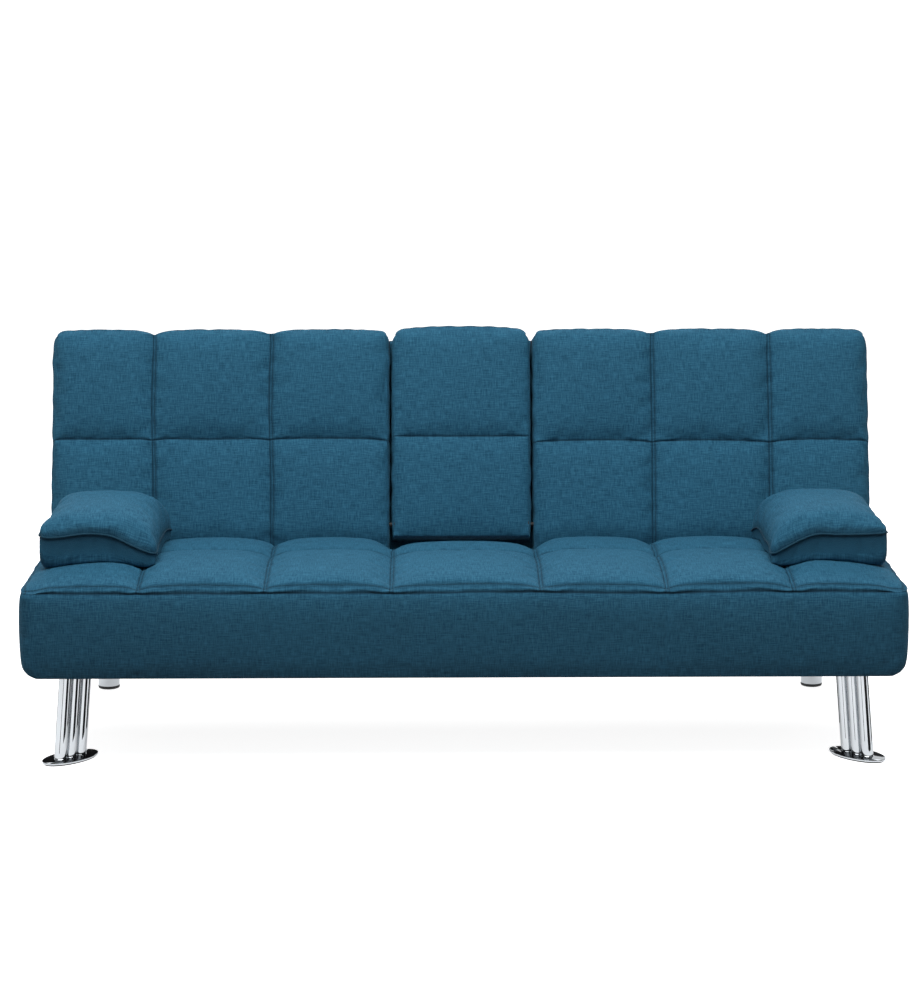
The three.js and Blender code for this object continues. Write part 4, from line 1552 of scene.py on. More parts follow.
class Hardware:
    """Collects turned and flat solids into one mesh."""

    def __init__(self) -> None:
        """Starts with nothing."""
        self.points: list[np.ndarray] = []
        self.faces: list[tuple[int, ...]] = []
        self.count = 0

    def _rings(self, rings: Sequence[np.ndarray], loop: bool) -> None:
        """Joins rings of equal length by strips; loop also joins the last to the first.

        Args:
            rings: The rings, in order.
            loop: Whether the last joins the first.
        """
        n = len(rings[0])
        base = self.count
        pairs = list(zip(range(len(rings) - 1), range(1, len(rings))))
        if loop:
            pairs.append((len(rings) - 1, 0))
        for a, b in pairs:
            for k in range(n):
                q = (k + 1) % n
                self.faces.append((base + a * n + k, base + a * n + q, base + b * n + q, base + b * n + k))
        if not loop:
            self.faces.append(tuple(base + k for k in reversed(range(n))))
            self.faces.append(tuple(base + (len(rings) - 1) * n + k for k in range(n)))
        self.points.extend(rings)
        self.count += n * len(rings)

    def slab(
        self, outline: Callable[[float], np.ndarray], low: float, high: float, bevel: float, at: Matrix
    ) -> None:
        """Adds a flat plate with softened edges.

        Args:
            outline: The plate's outline by inset.
            low: The plate's lower face.
            high: Its upper face.
            bevel: How far its edges are softened.
            at: Where it goes.
        """
        rows = [(bevel, low), (bevel * 0.3, low + bevel * 0.3), (0.0, low + bevel)]
        rows += [(0.0, high - bevel), (bevel * 0.3, high - bevel * 0.3), (bevel, high)]
        rings = []
        for inset, z in rows:
            flat = outline(inset)
            rings.append(self._placed(np.column_stack([flat, np.full(len(flat), z)]), at))
        self._rings(rings, False)

    def turned(
        self, profile: Sequence[tuple[float, float]], at: Matrix, closed: bool = True, count: int = 56
    ) -> None:
        """Adds a turned solid.

        Args:
            profile: Radius and height pairs along its section.
            at: Where it goes.
            closed: Whether the section is a closed loop, as a tube's is.
            count: How many steps round.
        """
        turn = np.linspace(0, 2 * math.pi, count, endpoint=False)
        rings = []
        for radius, z in profile:
            ring = np.column_stack([radius * np.cos(turn), radius * np.sin(turn), np.full(count, z)])
            rings.append(self._placed(ring, at))
        self._rings(rings, closed)

    def rod(self, path: np.ndarray, radius: float, count: int = 8, closed: bool = False) -> None:
        """Adds a round rod along a path of points.

        Args:
            path: The points.
            radius: The rod's radius.
            count: Points round it.
            closed: Whether it is a ring.
        """
        n = len(path)
        way = np.roll(path, -1, axis=0) - np.roll(path, 1, axis=0)
        if not closed:
            way[0], way[-1] = path[1] - path[0], path[-1] - path[-2]
        way /= np.maximum(np.linalg.norm(way, axis=1, keepdims=True), NOT_ZERO)
        up = np.array([0.0, 0.0, 1.0])
        side = np.cross(way, up)
        side /= np.maximum(np.linalg.norm(side, axis=1, keepdims=True), NOT_ZERO)
        lift = np.cross(side, way)
        turn = np.linspace(0, 2 * math.pi, count, endpoint=False)
        rings = [
            path[k] + radius * (np.outer(np.cos(turn), side[k]) + np.outer(np.sin(turn), lift[k]))
            for k in range(n)
        ]
        self._rings(rings, closed)

    @staticmethod
    def _placed(ring: np.ndarray, at: Matrix) -> np.ndarray:
        """A ring carried to its place."""
        m = np.array(at)
        return ring @ m[:3, :3].T + m[:3, 3]

    def piece(
        self,
        name: str,
        material: bpy.types.Material,
        body: str,
        slot: str,
        nodes: Sequence[str] = (),
        sharp: float = 40.0
    ) -> bpy.types.Object:
        """Makes the collected solids one piece.

        Args:
            name: The piece's name.
            material: Its finish.
            body: The body it rides on.
            slot: The record's material slot; not used.
            nodes: The nodes it stands for.
            sharp: Edges that turn more than this many degrees stay sharp.

        Returns:
            The piece.
        """
        mesh = bpy.data.meshes.new(name)
        mesh.from_pydata(np.concatenate(self.points).tolist(), [], self.faces)
        mesh.update()
        obj = link(name, mesh, material, body)
        mesh.set_sharp_from_angle(angle=math.radians(sharp))
        if nodes:
            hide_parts(*nodes)
        log.info("%s", name)
        return obj


def perforated(xs: np.ndarray, ys: np.ndarray, clear: Callable[[np.ndarray], np.ndarray]) -> tuple[
    np.ndarray, list[tuple[int, ...]]
]:
    """A flat grid with holes whose rims follow a curve.

    Args:
        xs: Grid lines one way.
        ys: Grid lines the other way.
        clear: Distance of points from the nearest hole's rim, negative inside it.

    Returns:
        The points and the faces that are left.
    """
    grid = np.stack(np.meshgrid(xs, ys, indexing="ij"), axis=-1).reshape(-1, 2)
    n = len(ys)
    kept, gone = [], set()
    for i in range(len(xs) - 1):
        for k in range(n - 1):
            face = (i * n + k, (i + 1) * n + k, (i + 1) * n + k + 1, i * n + k + 1)
            if clear(grid[list(face)].mean(axis=0)[None])[0] < 0:
                gone.update(face)
            else:
                kept.append(face)
    rim = sorted(gone & {v for face in kept for v in face})
    if rim:
        p = grid[rim]
        for _ in range(4):
            d = clear(p)
            step = 1e-5
            slope = np.stack([clear(p + [step, 0]) - d, clear(p + [0, step]) - d], axis=1) / step
            slope /= np.maximum(np.linalg.norm(slope, axis=1, keepdims=True), ON_PLANE)
            p = p - slope * d[:, None]
        grid[rim] = p
    used = sorted({v for face in kept for v in face})
    renumber = {v: m for m, v in enumerate(used)}
    return grid[used], [tuple(renumber[v] for v in face) for face in kept]


def cloth_mesh(
    name: str,
    points: np.ndarray,
    faces: Sequence[tuple[int, ...]],
    flat: np.ndarray,
    seam: np.ndarray | None = None
) -> bpy.types.Mesh:
    """A mesh with cloth coordinates per point.

    Args:
        name: The mesh's name.
        points: Positions.
        faces: Corner lists.
        flat: Where each point lies on the flat cloth, in metres.
        seam: How much painted seam shade each gets.

    Returns:
        The mesh.
    """
    mesh = bpy.data.meshes.new(name)
    mesh.from_pydata(points.tolist(), [], [tuple(f) for f in faces])
    corners = np.array([v for face in faces for v in face])
    spread = np.zeros((len(corners), 3), np.float32)
    spread[:, :2] = flat[corners]
    mesh.attributes.new("cloth", "FLOAT_VECTOR", "CORNER").data.foreach_set("vector", spread.ravel())
    depth = np.zeros(len(points)) if seam is None else seam
    mesh.attributes.new("seam", "FLOAT", "POINT").data.foreach_set("value", depth.astype(np.float32))
    mesh.update()
    return mesh


@dataclass
class Legs:
    """Front legs of three tubes on an oval foot, and single-tube rear legs."""

    tube: float = 0.012
    pitch: float = 0.0234
    wall: float = 0.0015
    splay: float = 0.020
    plate: tuple[float, float, float] = (0.052, 0.028, 0.003)
    foot: tuple[float, float] = (0.062, 0.034)
    setback: float = 0.080

    def build(self, finishes: Finishes) -> None:
        """Makes all four legs."""
        for side in Side:
            self._front(side, finishes)
            self._rear(side, finishes)

    def _front(self, side: Side, finishes: Finishes) -> None:
        """Makes a front leg and its pad.

        Args:
            side: Which side.
            finishes: The sofa's finishes.
        """
        lo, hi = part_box(f"front_{side.word}_leg")
        pad_lo, pad_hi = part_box(f"front_{side.word}_foot_pad")
        rail_lo, rail_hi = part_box(f"base_{side.word}_rail")
        middle = Vector(((rail_lo.x + rail_hi.x) / 2, FRONT + self.setback, 0.0))
        spin = -math.pi / 4 if side is Side.LEFT else -3 * math.pi / 4
        place = Matrix.Translation(middle) @ Matrix.Rotation(spin, 4, "Z")
        foot_top = lo.z + 0.0042
        lean = self.splay / (hi.z - foot_top)
        slant = Matrix(((1, 0, -lean, lean * hi.z), (0, 1, 0, 0), (0, 0, 1, 0), (0, 0, 0, 1)))
        leg = Hardware()
        r, w = self.tube, self.wall
        for n in (-1, 0, 1):
            at = place @ slant @ Matrix.Translation((n * self.pitch, 0, 0))
            top = hi.z - self.plate[2] + 0.0002
            low = foot_top - 0.0002
            section = [(r, low), (r, top), (r - w, top), (r - w, low)]
            leg.turned(section, at)
            # weld fillet where the tube meets the foot
            leg.turned(
                [
                    (r + 0.0016, low), (r + 0.0005, low + 0.0006), (r - 0.0002, low + 0.0018),
                    (r - 0.0004, low)
                ],
                at
            )
        leg.slab(oblong(*self.plate[:2], 0.006), hi.z - self.plate[2], hi.z, 0.0005, place)
        spread = Matrix.Translation((self.splay, 0, 0))
        leg.slab(oval(*self.foot), lo.z, foot_top, 0.0011, place @ spread)
        leg.piece(
            f"front_{side.word}_chrome_leg", finishes.chrome, "base", "chrome", [f"front_{side.word}_leg"]
        )
        pad = Hardware()
        pad.slab(
            oval(self.foot[0] - 0.004, self.foot[1] - 0.004), pad_lo.z, pad_hi.z, 0.0005, place @ spread
        )
        pad.piece(
            f"front_{side.word}_rubber_pad", finishes.rubber, "base", "rubber",
            [f"front_{side.word}_foot_pad"]
        )

    def _rear(self, side: Side, finishes: Finishes) -> None:
        """Makes a rear leg and its glide.

        Args:
            side: Which side.
            finishes: The sofa's finishes.
        """
        lo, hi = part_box(f"rear_{side.word}_leg")
        glide_lo, glide_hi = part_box(f"rear_{side.word}_glide")
        middle = Matrix.Translation(((lo.x + hi.x) / 2, (lo.y + hi.y) / 2, 0.0))
        r = (glide_hi.x - glide_lo.x) / 2
        plate = (hi.x - lo.x) / 2
        leg = Hardware()
        top = hi.z - 0.003
        w = self.wall
        leg.turned([(r, lo.z + 0.0004), (r, top), (r - w, top), (r - w, lo.z), (r - 0.0004, lo.z)], middle)
        leg.turned(
            [(r + 0.0030, top), (r + 0.0010, top - 0.0008), (r - 0.0002, top - 0.0028), (r - 0.0005, top)],
            middle
        )
        leg.slab(oblong(plate, plate, 0.008), top, hi.z, 0.0005, middle)
        leg.piece(
            f"rear_{side.word}_chrome_leg", finishes.chrome, "base", "chrome", [f"rear_{side.word}_leg"]
        )
        glide = Hardware()
        z = lo.z - 0.0004
        glide.turned(
            [
                (0.0005, 0.0), (r - 0.003, 0.0), (r - 0.0008, 0.0009), (r, 0.003), (r, z - 0.0006),
                (r - 0.0006, z), (r - w - 0.0004, z), (r - w - 0.0004, glide_hi.z - 0.002),
                (r - w - 0.002, glide_hi.z), (0.0005, glide_hi.z),
            ],
            middle,
            closed=False,
        )
        glide.piece(
            f"rear_{side.word}_plastic_glide", finishes.plastic, "base", "black_plastic",
            [f"rear_{side.word}_glide"]
        )


@dataclass
class BackUnit:
    """The reclining back: two quilted cushions and the cloth behind them."""

    inner: float = 0.146
    columns: tuple[float, float] = (0.389, 0.628)
    row: float = 0.230
    drop: float = 0.005
    front: float = 0.060
    rear: float = 0.052
    low: float = -0.046
    top: float = 0.455
    slot: tuple[float, float] = (0.811, 0.829)
    slot_top: float = 0.032

    def build(self, finishes: Finishes) -> None:
        """Makes and dresses the back."""
        for side in Side:
            self._cushion(side, finishes)
        self._rear_cloth(finishes)
        self._lining(finishes)

    def _cushion(self, side: Side, finishes: Finishes) -> None:
        """Makes one cushion.

        Args:
            side: Which side.
            finishes: The sofa's finishes.
        """
        width, height = HALF - self.inner, self.top - self.low
        if side is Side.LEFT:
            x0, flip = self.inner, lambda x: x - self.inner
        else:
            x0, flip = -HALF, lambda x: HALF - x
        columns = tuple(sorted(flip(c) for c in self.columns))
        slot = tuple(sorted(flip(s) for s in self.slot))
        row = self.row - self.low - (self.drop if side is Side.LEFT else 0.0)
        seams = tuple(Seam(0, c, ("front", "top"), 0.0042, 0.011) for c in columns)
        seams += (Seam(2, row, ("front", "low", "high"), 0.0046, 0.006, ()),)
        seams += (Seam(1, BOXING_SEAM, ("top", "low", "high"), 0.0, 0.01, ()),)
        log.info("back_%s_upholstery", side.word)
        BackQuilt(
            name=f"back_{side.word}_upholstery",
            body="back",
            nodes=(f"back_{side.word}_cover", f"back_{side.word}_foam"),
            size=(width, self.front + self.rear, height),
            seams=seams,
            place=back_frame() @ Matrix.Translation((x0, -self.front, self.low)),
            fill=0.75,
            stuffing=Stuffing(5.0, 0.006, 0.02),
            extra=(slot, (), (self.slot_top - self.low, 0.010, 0.022, 0.034)),
            slots=(slot,),
            slot_top=self.slot_top - self.low,
            cuts=(columns, (row,)),
            seed=11 + side.value,
        ).build(finishes)

    def _rear_cloth(self, finishes: Finishes) -> None:
        """Stretches the cloth over the back's rear.

        Args:
            finishes: The sofa's finishes.
        """
        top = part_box("back_top_rail")
        high = self.top - 0.006
        xs = (
            spaced(2 * HALF, 0.016, [HALF - s for s in self.slot] + [HALF + s for s in self.slot], ())
            - HALF
        )
        zs = spaced(high - self.low, 0.016, [self.slot_top - self.low], ()) + self.low
        slots = [(-self.slot[1], -self.slot[0]), self.slot]

        def clear(p: np.ndarray) -> np.ndarray:
            """Distance from the slits for the hinges."""
            d = np.full(len(p), 1.0)
            for a, b in slots:
                inside = np.minimum.reduce([p[:, 0] - a, b - p[:, 0], self.slot_top - p[:, 1]])
                d = np.minimum(d, -inside)
            return d

        flat, faces = perforated(xs, zs, clear)
        x, z = flat.T
        edge = np.minimum.reduce([HALF - np.abs(x), z - self.low, high - z])
        y = 0.0548 - 0.0020 * np.exp(-edge / 0.006)
        y -= 0.0012 * (0.5 + 0.5 * ripple(flat * [1.0, 2.2], 0.30, 23)) * ramp(edge, 0.02, 0.09)
        y += 0.0004 * ripple(flat, 0.028, 24) * np.exp(-edge / 0.030)
        cx = np.maximum(np.abs(x) - (HALF - 0.026), 0)
        cz = np.maximum(z - (high - 0.026), 0)
        far = np.hypot(cx, cz)
        pull = np.where(far > 0.026, 0.026 / np.maximum(far, NOT_ZERO), 1.0)
        x = x - np.sign(x) * cx * (1 - np.where((cx > 0) & (cz > 0), pull, 1.0))
        z = z - cz * (1 - np.where((cx > 0) & (cz > 0), pull, 1.0))
        # painted shade: a dark line along the seam 9 mm in from the edge
        seam = np.exp(-((edge - 0.009) / 0.0022) ** 2) * 0.7
        mesh = cloth_mesh("rear_cloth", np.column_stack([x, y, z]), [f[::-1] for f in faces], flat, seam)
        mesh.transform(back_frame())
        obj = link("back_rear_cloth", mesh, finishes.linen, "back")
        refine(obj)
        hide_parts("back_rear_cover")
        thread = Stitches()
        place = np.array(back_frame())
        normal = place[:3, :3] @ np.array([0.0, 1.0, 0.0])
        for path in (
            [
                (-HALF + 0.012, self.low + 0.09), (-HALF + 0.012, high - 0.03),
                (-HALF + 0.03, high - 0.012), (HALF - 0.03, high - 0.012), (HALF - 0.012, high - 0.03),
                (HALF - 0.012, self.low + 0.09)
            ],
            [(-HALF + 0.05, self.low + 0.012), (HALF - 0.05, self.low + 0.012)],
        ):
            corners = np.array(path)
            reach = np.concatenate([[0], np.cumsum(np.linalg.norm(np.diff(corners, axis=0), axis=1))])
            marks = np.arange(0, reach[-1], 0.004)
            spots = np.column_stack(
                [
                    np.interp(marks, reach, corners[:, 0]), np.full(len(marks), 0.0551),
                    np.interp(marks, reach, corners[:, 1])
                ]
            )
            thread.sew(spots @ place[:3, :3].T + place[:3, 3], np.tile(normal, (len(spots), 1)))
        thread.piece("back_rear_cloth_stitches", finishes.thread, "back")
        log.info("back_rear_cloth, top rail at %.3f m", top[1].z)

    def _lining(self, finishes: Finishes) -> None:
        """Lines the recess behind the console and goes over the top rail.

        Args:
            finishes: The sofa's finishes.
        """
        half = self.inner - 0.0004
        top = self.top - 0.007
        path = [(0.0238, 0.0), (0.0238, top - 0.005), (0.0252, top - 0.0015), (0.0285, top), (0.0540, top)]
        corners = np.array(path)
        reach = np.concatenate([[0], np.cumsum(np.linalg.norm(np.diff(corners, axis=0), axis=1))])
        runs = np.unique(np.concatenate([np.arange(0, reach[-1], 0.010), reach]))
        xs = np.linspace(-half, half, 37)
        flat = np.stack(np.meshgrid(xs, runs, indexing="ij"), axis=-1).reshape(-1, 2)
        y = np.interp(flat[:, 1], reach, corners[:, 0])
        z = np.interp(flat[:, 1], reach, corners[:, 1])
        y -= (
            0.0007 * (0.5 + 0.5 * ripple(flat, 0.09, 31)) * ramp(half - np.abs(flat[:, 0]), 0.0, 0.02)
            * ramp(reach[-1] - flat[:, 1], 0.03, 0.06)
        )
        n = len(runs)
        faces = [
            (i * n + k, (i + 1) * n + k, (i + 1) * n + k + 1, i * n + k + 1)
            for i in range(len(xs) - 1)
            for k in range(n - 1)
        ]
        mesh = cloth_mesh("lining", np.column_stack([flat[:, 0], y, z]), faces, flat)
        mesh.transform(back_frame())
        obj = link("back_recess_lining", mesh, finishes.linen, "back")
        refine(obj)
        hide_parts("back_rear_cover")
        log.info("back_recess_lining")


@dataclass
class ConsoleUnit:
    """The folding middle console: a quilted pad with two cup holders in its rear."""

    width: float = 0.285
    front: float = 0.0560
    rear: float = 0.0197
    low: float = 0.030
    top: float = 0.457
    row: float = 0.238
    cup_radius: float = 0.038
    cup_rim: float = 0.046
    cup_depth: float = 0.050
    cup_wall: float = 0.002
    spread: float = 0.066
    cup_at: float = 0.320
    sill: float = 0.046

    def build(self, finishes: Finishes) -> None:
        """Makes and dresses the console.

        Args:
            finishes: The sofa's finishes.
        """
        log.info("console_upholstery")
        row = self.row - self.low
        ConsoleQuilt(
            name="console_upholstery",
            body="console",
            nodes=("console_cover", "console_foam"),
            size=(self.width, self.front + self.rear, self.top - self.low),
            seams=(
                Seam(2, row, ("front",), 0.0046, 0.006, ()),
                Seam(1, BOXING_SEAM, ("top", "low", "high"), 0.0, 0.01, ())
            ),
            place=back_frame() @ Matrix.Translation((-self.width / 2, -self.front, self.low)),
            step=0.008,
            fill=0.75,
            stuffing=Stuffing(4.0, 0.005, 0.015),
            radii=(0.026, 0.026),
            crown=0.0050,
            top_crown=0.0110,
            curved=False,
            hollow=True,
            cuts=((), (row,)),
            seed=5,
        ).build(finishes)
        self._panel(finishes)
        for side in Side:
            self._cup(side, finishes)

    def _panel(self, finishes: Finishes) -> None:
        """Covers the board that holds the cups.

        Args:
            finishes: The sofa's finishes.
        """
        half = self.width / 2 - 0.0062
        high = self.top - 0.0080
        xs = np.linspace(-half, half, 83)
        zs = np.linspace(self.sill, high, 121)
        cups = np.array([(-self.spread, self.cup_at), (self.spread, self.cup_at)])
        hole = self.cup_radius + 0.0006

        def clear(p: np.ndarray) -> np.ndarray:
            """Distance from the cups' holes."""
            return np.min([np.hypot(*(p - c).T) for c in cups], axis=0) - hole

        flat, faces = perforated(xs, zs, clear)
        x, z = flat.T
        edge = np.minimum.reduce([half - np.abs(x), z - self.sill, high - z])
        rim = clear(flat)
        y = (
            self.rear + 0.0012 * ramp(edge, 0.0, 0.03) * ramp(rim, 0.012, 0.04)
            - 0.0045 * np.exp(-edge / 0.0030)
        )
        y -= 0.0030 * np.exp(-np.maximum(rim, 0) / 0.0025)
        y += 0.0004 * ripple(flat, 0.024, 41) * np.exp(-edge / 0.02)
        mesh = cloth_mesh("panel", np.column_stack([x, y, z]), [f[::-1] for f in faces], flat)
        mesh.transform(back_frame())
        obj = link("console_rear_pad", mesh, finishes.linen, "console")
        refine(obj)
        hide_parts("console_rear_panel")
        2 * half
        log.info("console_rear_pad")

    def _cup(self, side: Side, finishes: Finishes) -> None:
        """Makes one cup holder.

        Args:
            side: Which side.
            finishes: The sofa's finishes.
        """
        mouth = self.rear + 0.0004 + 0.0020
        floor = mouth - self.cup_depth - self.cup_wall
        r, w, rim = self.cup_radius, self.cup_wall, self.cup_rim
        place = back_frame() @ Matrix.Translation(
            (side.value * self.spread, 0, self.cup_at)
        ) @ Matrix.Rotation(-math.pi / 2, 4, "X")
        inside = floor + w
        profile = [
            (0.0006, inside), (0.012, inside), (0.0125, inside + 0.0008), (0.014, inside + 0.0008),
            (0.0145, inside)
        ]
        profile += [
            (r - w - 0.005, inside), (r - w - 0.0015, inside + 0.0015), (r - w, inside + 0.005),
            (r - w, mouth - 0.012)
        ]
        profile += [
            (r - w + 0.0006, mouth - 0.006), (r - w + 0.0024, mouth - 0.0012),
            (r - w + 0.0045, mouth - 0.0001)
        ]
        profile += [
            (rim - 0.0016, mouth), (rim - 0.0004, mouth - 0.0005), (rim, mouth - 0.0014),
            (rim - 0.0002, mouth - 0.0020)
        ]
        profile += [
            (r + 0.0004, mouth - 0.0020), (r, mouth - 0.003), (r, floor + 0.003), (r - 0.003, floor),
            (0.0006, floor)
        ]
        cup = Hardware()
        cup.turned(profile, place, closed=False, count=72)
        cup.piece(
            f"console_{side.word}_cup", finishes.plastic, "console", "black_plastic",
            [f"cup_holder_{side.word}"], 60.0
        )


@dataclass
class ConsoleQuilt(BackQuilt):
    """The console's pad, cut back at its heel."""

    heel: tuple[float, float] = (0.007, 0.016)

    def shape(self, p: np.ndarray) -> np.ndarray:
        """Cuts back the heel.

        Args:
            p: Points of the plain box.

        Returns:
            The shaped points.
        """
        q = super().shape(p)
        d = self.size[1]
        low = np.clip((self.heel[1] - p[:, 2]) / self.heel[1], 0, 1)
        rear = ramp(p[:, 1], d * 0.6, d)
        q[:, 1] -= self.heel[0] * low * rear
        return q


@dataclass
class PillowPair:
    """Two loose pillows that serve as armrests, piped round their edge."""

    width: float = 0.236
    length: float = 0.346
    from_end: float = 0.140
    setback: float = 0.275
    top: float = 0.470
    piping: float = 0.0020
    room: float = 0.006

    def build(self, finishes: Finishes, under: bpy.types.Object) -> None:
        """Makes both pillows.

        Args:
            finishes: The sofa's finishes.
            under: The seat's cushion, on which they lie.
        """
        for side in Side:
            self._pillow(side, finishes, under)

    def _pillow(self, side: Side, finishes: Finishes, under: bpy.types.Object) -> None:
        """Makes one pillow.

        Args:
            side: Which side.
            finishes: The sofa's finishes.
            under: The seat's cushion.
        """
        nx, ny = 34, 46
        us, vs = np.linspace(-1, 1, nx + 1), np.linspace(-1, 1, ny + 1)
        us, vs = np.sin(us * math.pi / 2) * 0.35 + us * 0.65, np.sin(vs * math.pi / 2) * 0.35 + vs * 0.65
        grid = np.stack(np.meshgrid(us, vs, indexing="ij"), axis=-1).reshape(-1, 2)
        u, v = grid.T
        # outline: sides drawn in between the corners, corners rounded
        r = 0.20
        a = u * (1 - 0.055 * (1 - v**2) * np.abs(u) ** 3)
        b = v * (1 - 0.040 * (1 - u**2) * np.abs(v) ** 3)
        ca, cb = np.maximum(np.abs(a) - (1 - r), 0), np.maximum(np.abs(b) - (1 - r * 0.7), 0) / 0.7
        far, box = np.hypot(ca, cb), np.maximum(ca, cb)
        pull = np.where(far > NOT_ZERO, box / np.maximum(far, NOT_ZERO), 1.0)
        a = np.sign(a) * (np.minimum(np.abs(a), 1 - r) + ca * pull)
        b = np.sign(b) * (np.minimum(np.abs(b), 1 - r * 0.7) + cb * pull * 0.7)
        half_w, half_l = self.width / 2 - self.room, self.length / 2 - self.room
        x = side.value * (HALF - self.from_end) + a * half_w
        y = FRONT + self.setback + b * half_l
        outward = a * side.value
        droop = 0.042 * ramp(-outward, 0.10, 1.05) - 0.002 * ramp(-np.abs(outward), -0.6, 0.0)
        seam_z = 0.431 - droop + 0.003 * ripple(np.column_stack([x, y]), 0.12, 60 + side.value)
        seam_z -= 0.020 * ramp(b, 0.3, 1.0)
        mound = ((1 - np.abs(u) ** 2.6) * (1 - np.abs(v) ** 3.4)).clip(0, 1)
        belly = ((1 - np.abs(u) ** 5) * (1 - np.abs(v) ** 5)).clip(0, 1)
        peak = self.top - 0.003 - 0.004 * ramp(-outward, 0.0, 1.0) - 0.014 * ramp(b, 0.1, 1.0)
        upper = seam_z + (peak - seam_z) * mound**0.60
        # the lower half has upright walls that lean out a little below the piping
        out_u, out_v = (
            np.sign(u) * (1 - (1 - np.abs(u)) ** 1.5) - u, np.sign(v) * (1 - (1 - np.abs(v)) ** 1.5) - v
        )
        low_x = x + out_u * half_w * 0.97
        low_y = y + out_v * half_l * 0.97
        wall = belly**0.30
        seat_z = self._floor(under, low_x, low_y)
        level = seat_z.reshape(nx + 1, ny + 1)
        for _ in range(14):
            wide = np.pad(level, 1, mode="edge")
            level = (wide[:-2, 1:-1] + wide[2:, 1:-1] + wide[1:-1, :-2] + wide[1:-1, 2:]) / 4
        seat_z = np.maximum(seat_z, level.ravel())
        lower = np.maximum(seam_z - (seam_z - 0.340) * wall, seat_z + 0.0015)
        crease = 0.0016 * ripple(np.column_stack([x * 2.0, y]), 0.06, 70 + side.value)
        near = 1 - belly**0.5
        upper += crease * (0.35 + near) * mound**0.4
        # the upper half swells over the piping on the side towards the middle of the seat
        swell = (
            0.006 * np.sin(math.pi * np.clip((np.abs(u) - 0.55) / 0.45, 0, 1)) * ramp(-outward, 0.3, 0.8)
        )
        up_x = x + out_u * half_w * 0.55 - side.value * swell
        up_y = y + out_v * half_l * 0.45
        rim = (np.abs(u) > 1 - NOT_ZERO) | (np.abs(v) > 1 - NOT_ZERO)
        points = [
            np.column_stack([np.where(rim, x, up_x), np.where(rim, y, up_y), upper]),
            np.column_stack([low_x, low_y, lower])
        ]
        n = ny + 1
        below = np.where(rim, np.arange(len(grid)), len(grid) + np.cumsum(~rim) - 1)
        faces = []
        for i in range(nx):
            for k in range(ny):
                face = (i * n + k, (i + 1) * n + k, (i + 1) * n + k + 1, i * n + k + 1)
                faces.append(face)
                faces.append(tuple(int(below[f]) for f in face[::-1]))
        points = np.concatenate([points[0], points[1][~rim]])
        flat = np.column_stack([x, y])
        flat = np.concatenate([flat, flat[~rim] + 1.0])
        edge = np.concatenate([rim, np.zeros((~rim).sum(), bool)])
        # painted shade: the rim where the piping is sewn gets 0.7 of the seam shade
        mesh = cloth_mesh("pillow", points, faces, flat, edge * 0.7)
        rest = np.concatenate([np.zeros(len(grid)), (lower - seat_z < 0.003)[~rim] * 1.0])
        Stuffing(2.0, 0.0055, 0.03, 20).run(mesh, np.maximum(rest, edge * 0.6))
        co = Stuffing._read(mesh)
        floor = self._floor(under, co[:, 0], co[:, 1])
        co[:, 2] = np.minimum(np.maximum(co[:, 2], floor + 0.0012), self.top + 0.002)
        log.info("pillow_%s spans %.3f m", side.word, float(np.ptp(co[:, 0])))
        mesh.vertices.foreach_set("co", co.astype(np.float32).ravel())
        obj = link(f"pillow_{side.word}_cushion", mesh, finishes.linen, f"pillow_{side.word}")
        refine(obj)
        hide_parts(f"pillow_{side.word}")
        loop = list(range(n)) + [i * n + ny for i in range(1, nx + 1)]
        loop += [nx * n + k for k in range(ny - 1, -1, -1)] + [i * n for i in range(nx - 1, 0, -1)]
        done = Stuffing._read(obj.data)
        cord = Hardware()
        middle = done[:len(grid)].mean(axis=0)
        path = done[loop]
        out = path - middle
        out[:, 2] = 0
        out /= np.linalg.norm(out, axis=1, keepdims=True)
        cord.rod(path + out * 0.0012, self.piping, 10, closed=True)
        # the piping's darker cloth is painted shade along the seam
        cord.piece(f"pillow_{side.word}_piping", finishes.thread_cloth, f"pillow_{side.word}", "upholstery")
        log.info("pillow_%s_cushion", side.word)

    @staticmethod
    def _floor(under: bpy.types.Object, x: np.ndarray, y: np.ndarray) -> np.ndarray:
        """Height of the seat under each place.

        Args:
            under: The seat's cushion.
            x: Where along x.
            y: Where along y.

        Returns:
            Heights in metres.
        """
        mesh = under.data
        tree = BVHTree.FromPolygons(
            [v.co for v in mesh.vertices], [tuple(f.vertices) for f in mesh.polygons]
        )
        out = np.empty(len(x))
        for n, (px, py) in enumerate(zip(x, y)):
            hit = tree.ray_cast(Vector((px, py, 0.6)), Vector((0, 0, -1)))[0]
            out[n] = hit.z if hit else 0.0
        return out


